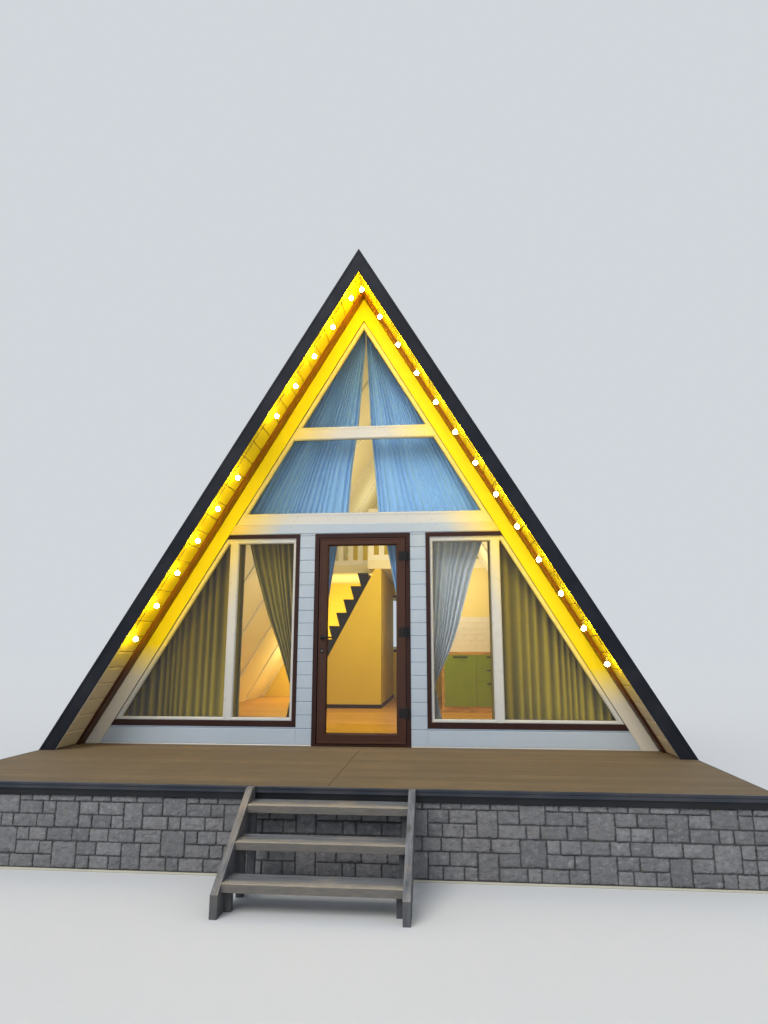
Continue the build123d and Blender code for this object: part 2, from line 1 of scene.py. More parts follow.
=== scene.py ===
# %% [markdown]
# A small triangular timber cabin on a raised terrace. Two roof slopes meet at the ridge and reach down
# to the platform, so nearly every board is cut to one slope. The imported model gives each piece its
# place and size. This file adds the single boards, seams, stones, folds and finishes around it.

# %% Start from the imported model
import json
import math

import bpy
import numpy as np
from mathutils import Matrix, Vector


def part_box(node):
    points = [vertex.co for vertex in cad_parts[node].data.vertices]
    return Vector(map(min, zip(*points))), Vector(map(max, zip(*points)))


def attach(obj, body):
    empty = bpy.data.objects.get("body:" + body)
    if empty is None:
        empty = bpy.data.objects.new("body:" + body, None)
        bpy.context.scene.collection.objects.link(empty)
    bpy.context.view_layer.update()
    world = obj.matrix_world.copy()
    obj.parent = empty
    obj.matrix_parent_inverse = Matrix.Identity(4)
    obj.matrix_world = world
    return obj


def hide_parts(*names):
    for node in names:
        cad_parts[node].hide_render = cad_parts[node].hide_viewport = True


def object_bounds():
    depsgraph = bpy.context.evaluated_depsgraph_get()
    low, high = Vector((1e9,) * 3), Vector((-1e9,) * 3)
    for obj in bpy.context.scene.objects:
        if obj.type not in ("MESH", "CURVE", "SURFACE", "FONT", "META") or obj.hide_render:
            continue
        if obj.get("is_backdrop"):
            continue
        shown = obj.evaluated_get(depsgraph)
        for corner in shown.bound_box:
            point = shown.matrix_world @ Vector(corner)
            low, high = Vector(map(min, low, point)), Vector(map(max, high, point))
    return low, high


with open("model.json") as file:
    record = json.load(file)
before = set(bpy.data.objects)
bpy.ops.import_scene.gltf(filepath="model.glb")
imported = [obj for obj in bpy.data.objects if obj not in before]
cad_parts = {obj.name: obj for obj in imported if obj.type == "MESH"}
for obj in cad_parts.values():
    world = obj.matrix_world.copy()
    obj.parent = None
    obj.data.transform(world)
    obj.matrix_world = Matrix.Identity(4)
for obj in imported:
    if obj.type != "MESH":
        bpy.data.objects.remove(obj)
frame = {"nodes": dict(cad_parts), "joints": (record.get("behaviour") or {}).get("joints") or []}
cad_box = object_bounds()
nodes = frame["nodes"]
rng = np.random.default_rng(11)
print("packed pieces:", len(nodes))

# %% [markdown]
# Everything is placed by the gable: the floor level, the face of the front wall, and the two slopes.
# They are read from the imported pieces, so the boards follow the frame if its size changes. Depths are
# measured square to a slope, from its outer face inwards.

# %% Measures of the gable
floor_low, floor_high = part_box("house_floor")
FLOOR = floor_high.z
FRONT = floor_low.y
BACK = floor_high.y
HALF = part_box("roofing_right")[1].x
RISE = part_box("roofing_right")[1].z - FLOOR
LEAN = math.atan2(HALF, RISE)
SIN, COS = math.sin(LEAN), math.cos(LEAN)
roof_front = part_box("barge_boards")[0].y - FRONT
roof_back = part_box("barge_boards")[1].y - FRONT
LENGTH = BACK - FRONT

BACK_ZONE = BACK - 0.5
SOFFIT_BACK = 0.1075
SOFFIT_DEPTH = 0.122
TRIM_DEPTH = 0.153
RAKE_DEPTH = 0.292
PANE_DEPTH = 0.330


def slope_x(height, depth):
    """Half width between the slopes: the rise left above this height and depth, at the slope's lean."""
    return (RISE - depth / SIN - height) * HALF / RISE


def on_slope(along, depth):
    """Point on the right slope: `along` is measured down from the outer ridge line, `depth` inwards."""
    return along * SIN - depth * COS, RISE - along * COS - depth * SIN


def slope_foot(depth, height=0.0):
    """Distance down the slope where the line at this depth reaches a height above the floor."""
    return (RISE - height - depth * SIN) / COS


def at(x, y, z):
    """A point given by x, depth behind the front wall's face and height above the floor."""
    x, y, z = np.broadcast_arrays(np.asarray(x, float), y, z)
    return np.stack([x, y + FRONT, z + FLOOR], -1)


print(f"half width {HALF:.3f} m, rise {RISE:.3f} m, lean {math.degrees(LEAN):.2f} degrees")

# %% [markdown]
# Most pieces of a timber building are bars: an outline carried between two or more stations. One
# function turns an array of outlines into closed solids. The array holds (bars, stations, outline
# points, xyz), so a whole wall of boards is worked out at once and nothing loops over vertices.


# %% Mesh helpers
def carried_faces(bars, stations, ring, looped=False):
    """Quads round each bar between its stations, and a cap at each end unless it closes on itself."""
    joined = stations if looped else stations - 1
    bar = np.arange(bars)[:, None, None] * stations * ring
    here = np.arange(joined)[None, :, None] * ring
    there = (np.arange(joined) + 1)[None, :, None] % stations * ring
    point = np.arange(ring)[None, None, :]
    after = (point + 1) % ring
    quads = np.stack([bar + here + point, bar + here + after, bar + there + after, bar + there + point], -1)
    faces = quads.reshape(-1, 4).tolist()
    if not looped:
        first = np.arange(bars)[:, None] * stations * ring + np.arange(ring)
        faces += first[:, ::-1].tolist() + (first + (stations - 1) * ring).tolist()
    return faces


def mesh_points(mesh):
    """Places of a mesh's vertices, one row each."""
    co = np.empty(len(mesh.vertices) * 3)
    mesh.vertices.foreach_get("co", co)
    return co.reshape(-1, 3)


def mesh_triangles(mesh):
    """Vertex numbers of a mesh's triangles, one row each."""
    mesh.calc_loop_triangles()
    corners = np.empty(len(mesh.loop_triangles) * 3, int)
    mesh.loop_triangles.foreach_get("vertices", corners)
    return corners.reshape(-1, 3)


def face_outwards(mesh):
    """Turns all faces round if the volume that they close comes out negative."""
    a, b, c = mesh_points(mesh)[mesh_triangles(mesh)].transpose(1, 0, 2)
    if np.einsum("ij,ij->i", a, np.cross(b, c)).sum() < 0:
        mesh.flip_normals()


def give_numbers(mesh, name, values):
    """Stores one number for each vertex, which a material can read by this name."""
    mesh.attributes.new(name, "FLOAT", "POINT").data.foreach_set("value", values.astype(np.float32))


def add_object(name, data):
    """A new object in the scene."""
    made = bpy.data.objects.new(name, data)
    bpy.context.scene.collection.objects.link(made)
    return made


def new_piece(name, points, faces, material, body="cabin", smooth=False, tone=None, closed=True):
    """A mesh piece that rides on a body; tone is one number for each point, for its colour variation."""
    mesh = bpy.data.meshes.new(name)
    mesh.from_pydata(points.reshape(-1, 3), [], faces)
    if closed:
        face_outwards(mesh)
    if tone is not None:
        give_numbers(mesh, "tone", tone)
    mesh.polygons.foreach_set("use_smooth", np.full(len(mesh.polygons), smooth))
    mesh.materials.append(material)
    mesh.update()
    piece = add_object(name, mesh)
    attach(piece, body)
    return piece


def carried(name, rings, material, body="cabin", smooth=False, looped=False):
    """Solids from outlines at stations, rings[bar, station, point]; each bar gets its own random tone."""
    rings = np.asarray(rings, float)
    bars, stations, ring = rings.shape[:3]
    tone = np.repeat(rng.random(bars), stations * ring)
    return new_piece(name, rings, carried_faces(bars, stations, ring, looped), material, body, smooth, tone)


def rounded_section(width, height, radius, steps=4):
    """Closed outline of a bar with four rounded edges, centred: quarter circles joined by flats."""
    turn = np.linspace(0, np.pi / 2, steps)
    corners = []
    for quarter, (sx, sy) in enumerate(((1, 1), (-1, 1), (-1, -1), (1, -1))):
        angle = turn + quarter * np.pi / 2
        centre = np.array([sx * (width / 2 - radius), sy * (height / 2 - radius)])
        corners.append(centre + radius * np.stack([np.cos(angle), np.sin(angle)], -1))
    return np.concatenate(corners)


def both_sides(rings):
    """The bars and their mirror images on the left half, with the outline turned so that they stay alike."""
    mirrored = np.asarray(rings) * np.array([-1, 1, 1])
    return np.concatenate([rings, mirrored[:, :, ::-1]])


def rectangle(x0, x1, z0, z1):
    """The four corners of a rectangle, in turn."""
    return [(x0, z0), (x1, z0), (x1, z1), (x0, z1)]


def inset_outline(outline, by):
    """Each corner of a flat outline moves along its bisector until both its edges lie `by` further in."""
    edge = np.roll(outline, -1, 0) - outline
    normal = np.stack([-edge[:, 1], edge[:, 0]], -1) / np.linalg.norm(edge, axis=1)[:, None]
    before = np.roll(normal, 1, 0)
    shift = (before + normal) / (1 + (before * normal).sum(1))[:, None]
    return outline + by * shift


def front_place(a, b, c):
    """Outline in the plane of the front wall: across, height above the floor, depth behind its face."""
    return at(a, c, b)


def back_place(a, b, c):
    """Outline in the plane of the back wall, with the depth measured inwards from its outer face."""
    return at(a, LENGTH - c, b)


def plan_place(a, b, c):
    """Outline in plan, with the height above the ground."""
    return np.stack([a, b, np.broadcast_to(c, np.shape(a))], -1)


def mitred_rings(outlines, section, place):
    """A section of (inset, depth) carried round each closed outline, with mitred corners."""
    rings = []
    for outline in outlines:
        outline = np.array(outline, float)
        x, y = outline[:, 0], outline[:, 1]
        if (x * np.roll(y, -1) - np.roll(x, -1) * y).sum() < 0:
            outline = outline[::-1]
        stations = np.stack([inset_outline(outline, inset) for inset, depth in section], 1)
        depth = np.broadcast_to(np.array(section)[:, 1], stations.shape[:2])
        rings.append(place(stations[..., 0], stations[..., 1], depth))
    return rings


def mitred(name, outlines, section, place, material, body="cabin"):
    """Frames, beads and edgings: one closed ring for each outline, all in one piece."""
    points, faces, tones = [], [], []
    for ring in mitred_rings(outlines, section, place):
        start = sum(len(p) for p in points)
        corners, steps = ring.shape[:2]
        new = np.array(carried_faces(1, corners, steps, True)) + start
        points.append(ring.reshape(-1, 3))
        faces += new.tolist()
        tones.append(np.full(corners * steps, rng.random()))
    return new_piece(name, np.concatenate(points), faces, material, body, False, np.concatenate(tones))


def turned(name, section, centres, material, body="cabin", sides=16, axis=(0, 0, 1)):
    """Turned parts: a section of (along the axis, radius) spun about the axis through each centre."""
    axis = np.array(axis, float)
    side = np.cross(axis, (1, 0, 0) if abs(axis[0]) < 0.9 else (0, 1, 0))
    side /= np.linalg.norm(side)
    other = np.cross(axis, side)
    angle = np.linspace(0, 2 * np.pi, sides, endpoint=False)
    circle = np.cos(angle)[:, None] * side + np.sin(angle)[:, None] * other
    section = np.array(section, float)
    shape = section[:, 0, None, None] * axis + section[:, 1, None, None] * circle
    rings = np.array(centres, float)[:, None, None, :] + shape
    return carried(name, rings, material, body, smooth=True)


def tube_rings(path, width, height, up, steps=3, radius=None):
    """Rounded bar along a path: each outline stands square to the path, with its height along up."""
    path = np.asarray(path, float)
    along = np.gradient(path, axis=0)
    along /= np.linalg.norm(along, axis=1)[:, None]
    side = np.cross(along, up)
    side /= np.linalg.norm(side, axis=1)[:, None]
    rise = np.cross(side, along)
    flat = rounded_section(width, height, radius or min(width, height) / 2 * 0.98, steps)
    return path[:, None] + flat[None, :, :1] * side[:, None] + flat[None, :, 1:] * rise[:, None]


MOST_PASSES = 40


def solid_boxes(name):
    """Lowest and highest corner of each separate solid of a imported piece, found by joining its triangles."""
    mesh = nodes[name].data
    key, group = np.unique(mesh_points(mesh).round(5), axis=0, return_inverse=True)
    tri = group.ravel()[mesh_triangles(mesh)]
    label = np.arange(len(key))
    for _ in range(MOST_PASSES):
        least = label[tri].min(1)
        before = label.copy()
        for i in range(3):
            np.minimum.at(label, tri[:, i], least)
        if (label == before).all():
            break
    return [(key[label == one].min(0), key[label == one].max(0)) for one in np.unique(label)]


def refinish(names, material):
    """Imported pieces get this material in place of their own."""
    for name in names:
        nodes[name].data.materials.clear()
        nodes[name].data.materials.append(material)


def bevel(names, width):
    """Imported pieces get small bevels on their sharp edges, so that the edges catch light."""
    for name in names:
        cut = nodes[name].modifiers.new("edge", "BEVEL")
        cut.width = width
        cut.segments = 2
        cut.limit_method = "ANGLE"
        cut.angle_limit = math.radians(35)


print("mesh helpers ready")

# %% [markdown]
# Materials are built from nodes. A short helper adds one node and wires or sets its inputs, so each
# recipe below reads as a list of what the finish is made of. Finishes near the string of bulbs get
# painted bulb light: a warm colour laid into the finish, which ends a little below the last bulb of
# each side.


# %% Material helpers
bulb_boxes = solid_boxes("light_bulbs")
last_bulb_right = min(low[2] for low, high in bulb_boxes if low[0] > 0)
last_bulb_left = min(low[2] for low, high in bulb_boxes if high[0] < 0)


def put(tree, kind, inputs=None, **settings):
    """Adds a shader node; an input is a number, a colour or another node's output."""
    made = tree.nodes.new("ShaderNode" + kind)
    for key, value in settings.items():
        setattr(made, key, value)
    for key, value in (inputs or {}).items():
        if isinstance(value, bpy.types.NodeSocket):
            tree.links.new(value, made.inputs[key])
        else:
            made.inputs[key].default_value = value
    return made.outputs[0]


def colour(rgb):
    """A colour with full alpha."""
    return (*rgb, 1.0)


def start_material(name):
    """An empty material and its node tree."""
    material = bpy.data.materials.new(name)
    material.use_nodes = True
    material.node_tree.nodes.clear()
    return material, material.node_tree


def end_material(tree, surface):
    """Connects the surface to the material's output."""
    output = tree.nodes.new("ShaderNodeOutputMaterial")
    tree.links.new(surface, output.inputs["Surface"])


def object_pattern(tree, stretch=(1, 1, 1)):
    """Object coordinates in metres, scaled along each axis."""
    place = tree.nodes.new("ShaderNodeTexCoord").outputs["Object"]
    return put(tree, "Mapping", {"Vector": place, "Scale": stretch})


def noise(tree, vector, scale, detail=4.0, rough=0.55, distort=0.0):
    """Fractal noise, 0 to 1."""
    values = {"Vector": vector, "Scale": scale, "Detail": detail, "Roughness": rough, "Distortion": distort}
    return put(tree, "TexNoise", values)


def maths(tree, operation, *values):
    """One step of arithmetic on numbers or other nodes' outputs."""
    return put(tree, "Math", dict(enumerate(values)), operation=operation)


def blend_colour(tree, factor, first, second, way="MIX"):
    """Mixes or multiplies two colours by a factor."""
    return put(tree, "MixRGB", {"Fac": factor, "Color1": first, "Color2": second}, blend_type=way)


def spread(tree, value, low, high, to_low, to_high):
    """Maps a range of values to another, clamped."""
    values = {"Value": value, "From Min": low, "From Max": high, "To Min": to_low, "To Max": to_high}
    return put(tree, "MapRange", values)


def layer(tree, base, rgb, value, low, high, to_low=0.0, to_high=1.0):
    """Lays a colour over the base, by an amount that follows a value."""
    return blend_colour(tree, spread(tree, value, low, high, to_low, to_high), base, colour(rgb))


def multiplied(tree, base, rgb):
    """The base multiplied by a colour."""
    return blend_colour(tree, 1.0, base, colour(rgb), "MULTIPLY")


def tone_of(tree):
    """The random number that each board or stone carries."""
    return put(tree, "Attribute", attribute_name="tone").node.outputs["Fac"]


def painted_bulb_light(tree):
    """Share of painted bulb light: it fades inwards from the slope and below the last bulb."""
    place = tree.nodes.new("ShaderNodeTexCoord").outputs["Object"]
    axes = put(tree, "SeparateXYZ", {"Vector": place}).node.outputs
    across = maths(tree, "ABSOLUTE", axes["X"])
    level = maths(tree, "SUBTRACT", RISE + FLOOR, axes["Z"])
    side = maths(tree, "MULTIPLY", across, COS)
    inward = maths(tree, "MULTIPLY_ADD", level, SIN, maths(tree, "MULTIPLY", side, -1.0))
    near = spread(tree, inward, 0.31, 0.75, 1.0, 0.0)
    right = maths(tree, "GREATER_THAN", axes["X"], 0.0)
    last = spread(tree, right, 0.0, 1.0, last_bulb_left, last_bulb_right)
    above = maths(tree, "SUBTRACT", axes["Z"], last)
    high = spread(tree, above, -0.36, -0.02, 0.0, 1.0)
    front = spread(tree, axes["Y"], FRONT + 0.2, FRONT + 0.4, 1.0, 0.0)
    return maths(tree, "MULTIPLY", maths(tree, "MULTIPLY", near, high), front)


def with_painted_bulb_light(tree, rgb, lit):
    """The finish's own colour, or with lit the warm colour of painted bulb light beside the bulbs."""
    return colour(rgb) if lit is None else blend_colour(tree, painted_bulb_light(tree), colour(rgb), colour(lit))


def relief(tree, height, distance, strength=1.0, under=None):
    """Bump from a height; distance is the depth of the relief in metres."""
    values = {"Height": height, "Distance": distance, "Strength": strength}
    if under is not None:
        values["Normal"] = under
    return put(tree, "Bump", values)


def principled(tree, **values):
    """The main shader; names are the socket names with underscores for spaces."""
    return put(tree, "BsdfPrincipled", {key.replace("_", " "): value for key, value in values.items()})


def end_plain(tree, **values):
    """Ends a material in the main shader alone."""
    end_material(tree, principled(tree, **values))


# %% [markdown]
# Coated metal and painted boards make up most of the outside. The coated metal keeps a fine orange
# peel, dust that gathers in patches, and a satin roughness that varies. The painted boards carry an
# embossed wood grain that runs along the board, and every board differs a little in tone.


# %% Coated metal and painted boards
def coated_metal(name, rgb, rough=0.42, dust=(0.16, 0.15, 0.14), dust_amount=0.25, lit=None, mirror=0.3):
    """Thin satin coating on sheet metal, with faint dust and orange peel."""
    material, tree = start_material(name)
    space = object_pattern(tree)
    patches = spread(tree, noise(tree, space, 3.1, 6), 0.42, 0.75, 0.0, dust_amount)
    # Beside the bulbs the colour turns to lit: painted bulb light.
    base = blend_colour(tree, patches, with_painted_bulb_light(tree, rgb, lit), colour(dust))
    shine = spread(tree, noise(tree, space, 9.0, 5), 0.3, 0.7, rough - 0.06, rough + 0.12)
    peel = relief(tree, noise(tree, space, 420.0, 2), 0.0003, 0.35)
    end_plain(tree, Base_Color=base, Roughness=shine, Normal=peel, Specular_IOR_Level=mirror)
    return material


def painted_boards(name, rgb, stretch, rough, wander=0.05, lit=None):
    """Painted boards with an embossed grain; stretch is small along the grain and large across it."""
    material, tree = start_material(name)
    streaks = noise(tree, object_pattern(tree, stretch), 5.0, 7, 0.6, 0.3)
    weather = noise(tree, object_pattern(tree), 1.7, 6)
    own = spread(tree, tone_of(tree), 0, 1, 0.0, wander)
    # Beside the bulbs the colour turns to lit: painted bulb light.
    clean = with_painted_bulb_light(tree, rgb, lit)
    dark = multiplied(tree, clean, (0.80, 0.78, 0.74))
    blend_share = maths(tree, "ADD", own, spread(tree, weather, 0.35, 0.8, 0.0, 0.30))
    lines = spread(tree, streaks, 0.55, 0.8, 0.0, 0.22)
    base = blend_colour(tree, maths(tree, "ADD", blend_share, lines), clean, dark)
    shine = spread(tree, streaks, 0.2, 0.8, rough - 0.05, rough + 0.1)
    bumps = relief(tree, streaks, 0.0005)
    end_plain(tree, Base_Color=base, Roughness=shine, Normal=bumps, Specular_IOR_Level=0.3)
    return material


def plain_plastic(name, rgb, rough=0.25, coat=0.3, lit=None):
    """Smooth window profile: glossy, with faint handling marks."""
    material, tree = start_material(name)
    space = object_pattern(tree)
    marks = spread(tree, noise(tree, space, 2.3, 6), 0.45, 0.8, 0.0, 0.16)
    # Beside the bulbs the colour turns to lit: painted bulb light.
    clean = with_painted_bulb_light(tree, rgb, lit)
    base = blend_colour(tree, marks, clean, multiplied(tree, clean, (0.82, 0.82, 0.82)))
    shine = spread(tree, noise(tree, space, 14.0, 4), 0.3, 0.7, rough, rough + 0.12)
    soft = relief(tree, noise(tree, space, 160.0, 2), 0.0002, 0.25)
    end_plain(tree, Base_Color=base, Roughness=shine, Normal=soft, Coat_Weight=coat, Coat_Roughness=0.12)
    return material


ALONG_X = (1.2, 26, 26)
ALONG_Y = (26, 1.2, 26)
ALONG_Z = (26, 26, 1.2)
charcoal = coated_metal("charcoal coated metal", (0.009, 0.011, 0.018), 0.42,
                        (0.065, 0.067, 0.075), mirror=0.2)
edge_dark = coated_metal("dark edging", (0.030, 0.036, 0.050), 0.36)
rim_black = coated_metal("black fascia", (0.008, 0.009, 0.012), 0.45, (0.05, 0.05, 0.05), 0.2)
brown_coat = coated_metal("dark brown coated trim", (0.032, 0.010, 0.007), 0.38, (0.08, 0.045, 0.04), 0.15)
# The last colour given to the brown rake trim, the facade boards, the rake and soffit boards and the window
# profile is painted bulb light.
rake_brown = coated_metal("brown rake trim", (0.060, 0.018, 0.010), 0.40, (0.12, 0.06, 0.03), 0.15,
                          (0.24, 0.085, 0.003))
door_coat = coated_metal("brown door profile", (0.066, 0.026, 0.016), 0.34, (0.13, 0.075, 0.06), 0.15)
black_fitting = coated_metal("black fittings", (0.010, 0.010, 0.012), 0.38, (0.05, 0.05, 0.05), 0.3)
# The facade boards are white; their blue-grey colour is painted dusk shade.
white_boards = painted_boards("white facade boards", (0.53, 0.62, 0.72), ALONG_X, 0.42,
                              lit=(0.96, 0.70, 0.12))
rake_cream = painted_boards("cream rake boards", (0.83, 0.79, 0.69), ALONG_Z, 0.45, 0.04,
                            lit=(1.0, 0.81, 0.006))
soffit_cream = painted_boards("cream soffit boards", (0.78, 0.65, 0.42), ALONG_Y, 0.45, 0.16,
                              lit=(1.0, 0.76, 0.010))
ceiling_white = painted_boards("pale ceiling panels", (0.84, 0.80, 0.60), ALONG_Y, 0.5, 0.10)
railing_white = painted_boards("white railing boards", (0.88, 0.87, 0.82), ALONG_Z, 0.45, 0.08)
frame_white = plain_plastic("white window profile", (0.70, 0.70, 0.67), lit=(0.95, 0.78, 0.20))
sealing = coated_metal("black glazing seal", (0.008, 0.008, 0.009), 0.6)
light_strip = coated_metal("light starter strip", (0.60, 0.58, 0.46), 0.4, (0.4, 0.38, 0.34), 0.4)
lock_metal = coated_metal("satin lock cylinder", (0.22, 0.22, 0.23), 0.3, mirror=0.6)
print("coated and painted finishes:", len(bpy.data.materials))

# %% [markdown]
# Wood comes in three kinds here. The terrace boards are brown composite with fine streaks, the steps
# are bare softwood that has turned grey, with knots and a few warm patches, and the floor inside is a
# warm laminate whose planks are a pattern, because their joints have no depth that shows. The cloth of
# the curtains and the glass of the panes follow.


# %% Wood, fabric and glass
def composite_boards(name, rgb):
    """Brown composite terrace boards: streaks along X, each board a little lighter or darker."""
    material, tree = start_material(name)
    streaks = noise(tree, object_pattern(tree, (1.0, 60, 10)), 2.6, 8, 0.65, 0.2)
    scuffs = noise(tree, object_pattern(tree), 1.3, 8, 0.7)
    dark = tuple(c * 0.55 for c in rgb)
    pale = tuple(min(1.0, c * 1.45) for c in rgb)
    base = layer(tree, colour(dark), rgb, streaks, 0.3, 0.75)
    base = layer(tree, base, pale, scuffs, 0.45, 0.8, 0, 0.5)
    base = layer(tree, base, dark, tone_of(tree), 0, 1, 0, 0.6)
    runs = noise(tree, object_pattern(tree, (0.35, 9, 1)), 2.6, 4, 0.7)
    base = layer(tree, base, dark, runs, 0.54, 0.66, 0, 0.7)
    shine = spread(tree, scuffs, 0.3, 0.7, 0.62, 0.8)
    end_plain(tree, Base_Color=base, Roughness=shine, Normal=relief(tree, streaks, 0.0006))
    return material


def grey_timber(name, stretch):
    """Weathered softwood: grey grain lines, dark knots with the grain bent round them, warm patches, paler
    towards each tread's front, and painted shade on faces that do not look up.
    """
    material, tree = start_material(name)
    space = object_pattern(tree, stretch)
    plain = object_pattern(tree, tuple(0.5 + 0.25 * s / max(stretch) * 2 for s in stretch))
    knot = put(tree, "TexVoronoi", {"Vector": plain, "Scale": 3.2, "Randomness": 1.0})
    knots = spread(tree, knot, 0.04, 0.11, 1.0, 0.0)
    grain = noise(tree, space, 3.5, 9, 0.65, 0.6)
    fine = noise(tree, space, 14.0, 6, 0.7)
    patches = noise(tree, object_pattern(tree), 2.6, 5)
    base = layer(tree, colour((0.070, 0.074, 0.082)), (0.27, 0.275, 0.28), grain, 0.32, 0.68)
    base = layer(tree, base, (0.46, 0.36, 0.24), patches, 0.5, 0.7, 0, 0.55)
    base = layer(tree, base, (0.05, 0.05, 0.052), fine, 0.62, 0.75, 0, 0.7)
    base = blend_colour(tree, knots, base, colour((0.055, 0.035, 0.022)))
    base = layer(tree, base, (0.12, 0.12, 0.13), tone_of(tree), 0, 1, 0, 0.3)
    # Paler and warmer towards the front edge of each tread, broken up by the fine grain.
    tread_front = put(tree, "Attribute", attribute_name="front").node.outputs["Fac"]
    blend_share = spread(tree, tread_front, 0.55, 0.95, 0.0, 0.85)
    front_pale_share = maths(tree, "MULTIPLY", blend_share, spread(tree, fine, 0.35, 0.6, 1, 0.35))
    base = blend_colour(tree, front_pale_share, base, colour((0.60, 0.50, 0.36)))
    # Painted shade: faces that do not look up, such as tread fronts and stringer sides, are darkened.
    facing = tree.nodes.new("ShaderNodeNewGeometry").outputs["Normal"]
    upright = put(tree, "SeparateXYZ", {"Vector": facing}).node.outputs["Z"]
    base = layer(tree, base, (0.060, 0.064, 0.070), upright, 0.2, 0.7, 0.72, 0.0)
    deep = relief(tree, fine, 0.0012)
    end_plain(tree, Base_Color=base, Roughness=0.86, Normal=relief(tree, grain, 0.0022, 1.0, deep))
    return material


PLANK_WIDTH = 0.19
PLANK_LENGTH = 1.29


def laminate(name):
    """Floor of planks along X: a brick pattern gives the joints and each plank's own colour."""
    material, tree = start_material(name)
    place = object_pattern(tree)
    values = {"Vector": place, "Scale": 1.0, "Brick Width": PLANK_LENGTH, "Row Height": PLANK_WIDTH,
              "Mortar Size": 0.0012, "Mortar Smooth": 0.1, "Bias": -0.1,
              "Color1": colour((0.62, 0.31, 0.035)), "Color2": colour((0.78, 0.43, 0.065)),
              "Mortar": colour((0.10, 0.045, 0.015))}
    planks = put(tree, "TexBrick", values, offset=0.37, offset_frequency=2)
    joints = planks.node.outputs["Fac"]
    grain = noise(tree, object_pattern(tree, (1.1, 22, 22)), 3.0, 8, 0.6, 0.8)
    base = layer(tree, planks, (0.38, 0.16, 0.015), grain, 0.45, 0.75, 0, 0.55)
    shine = spread(tree, grain, 0.3, 0.7, 0.30, 0.42)
    end_plain(tree, Base_Color=base, Roughness=shine, Normal=relief(tree, joints, -0.0006))
    return material


def curtain_cloth(name, rgb, through, weave=900.0, deep=0.4, fold_shade_darkest=0.35):
    """Woven curtain: fine threads, painted shade in the depth of its folds, some light passing through it."""
    material, tree = start_material(name)
    space = object_pattern(tree)
    slubs = noise(tree, object_pattern(tree, (60, 60, 2.0)), 4.0, 6)
    dark = tuple(c * fold_shade_darkest for c in rgb)
    base = layer(tree, colour(rgb), tuple(c * 0.72 for c in rgb), slubs, 0.35, 0.7, 0, 0.4)
    # Painted shade: the deeper a point lies in its fold, the darker it is; deep sets how much.
    base = layer(tree, base, dark, tone_of(tree), 0.25, 0.95, 0, deep)
    threads = put(tree, "TexWave", {"Vector": space, "Scale": weave / 20, "Distortion": 0.6},
                  bands_direction="Z")
    cloth = principled(tree, Base_Color=base, Roughness=0.82, Normal=relief(tree, threads, 0.0003, 0.5),
                       Sheen_Weight=0.2)
    glow = put(tree, "BsdfTranslucent", {"Color": base})
    end_material(tree, put(tree, "MixShader", {"Fac": through, 1: cloth, 2: glow}))
    return material


def clear_glass(name):
    """Sealed window glass with a low-reflection coat. Rays from lamps pass straight through to the rooms."""
    material, tree = start_material(name)
    ripple = relief(tree, noise(tree, object_pattern(tree), 0.8, 2), 0.0006, 0.3)
    pane = principled(tree, Base_Color=colour((0.93, 0.96, 0.98)), Roughness=0.0, IOR=1.36,
                      Transmission_Weight=1.0, Normal=ripple)
    clear = put(tree, "BsdfTransparent", {"Color": colour((0.90, 0.93, 0.95))})
    lamp_ray = tree.nodes.new("ShaderNodeLightPath").outputs["Is Shadow Ray"]
    end_material(tree, put(tree, "MixShader", {"Fac": lamp_ray, 1: pane, 2: clear}))
    return material


deck_brown = composite_boards("brown terrace boards", (0.235, 0.165, 0.084))
step_timber = grey_timber("weathered step boards", (1.0, 14, 14))
stringer_timber = grey_timber("weathered stringers", (14, 1.6, 1.6))
floor_laminate = laminate("warm floor planks")
# The sheer cloth is pale; its blue colour is a painted reflection of the dusk sky.
sheer_with_painted_sky_blue = curtain_cloth("sheer curtain with painted sky-blue reflection", (0.31, 0.59, 0.96), 0.04, deep=0.22)
# The right tied curtain is olive cloth; its grey-blue colour is a painted reflection of the sky.
cloth_with_painted_sky_reflection = curtain_cloth("curtain with painted grey-blue sky reflection", (0.66, 0.73, 0.80), 0.10, deep=0.5)
# Olive cloth, its colour partly olive dye and partly painted warm lamp light; its folds carry the deepest
# painted shade.
olive_cloth = curtain_cloth("olive curtain", (0.39, 0.29, 0.012), 0.10, 500.0, 1.0, 0.20)
window_clear = clear_glass("clear window glass")
print("finishes so far:", len(bpy.data.materials))

# %% [markdown]
# The plinth is clad with panels that imitate split stone: five and a half courses of small blocks,
# with a larger block here and there that takes two courses. A panel's blocks are listed once, and
# the panel repeats round the house. Each block is a small cushion of a few dozen faces with a rough
# top, which is enough for its own shadow line; the finer split face is bump.

# %% Stone panels
COURSE = 0.0902
PANEL = 1.26
PANEL_COURSES = 3
TABLE_WIDTH = 1.25
SMALLEST_BLOCK = 0.02
STRIP = 0.015
PANEL_START = 1.342
JOINT = 0.0024
STONE_RELIEF = 0.011

# Blocks of one panel, drawn TABLE_WIDTH wide: left and right edge in metres, lowest course, courses high
PANEL_BLOCKS = np.array([
    (0.045, 0.135, 0, 1), (0.135, 0.315, 0, 1), (0.315, 0.450, 0, 1), (0.630, 0.730, 0, 1),
    (0.730, 0.875, 0, 1), (0.875, 0.965, 0, 1), (1.105, 1.295, 0, 1),
    (0.175, 0.355, 1, 1), (0.355, 0.450, 1, 1), (0.630, 0.775, 1, 1), (0.775, 0.965, 1, 1),
    (1.105, 1.250, 1, 1),
    (0.175, 0.265, 2, 1), (0.265, 0.400, 2, 1), (0.400, 0.590, 2, 1), (0.590, 0.720, 2, 1),
    (0.720, 0.860, 2, 1), (0.860, 1.055, 2, 1), (1.055, 1.250, 2, 1),
    (0.450, 0.630, 0, 2), (0.965, 1.105, 0, 2), (0.000, 0.175, 1, 2),
]) * np.array([PANEL / TABLE_WIDTH, PANEL / TABLE_WIDTH, 1, 1])


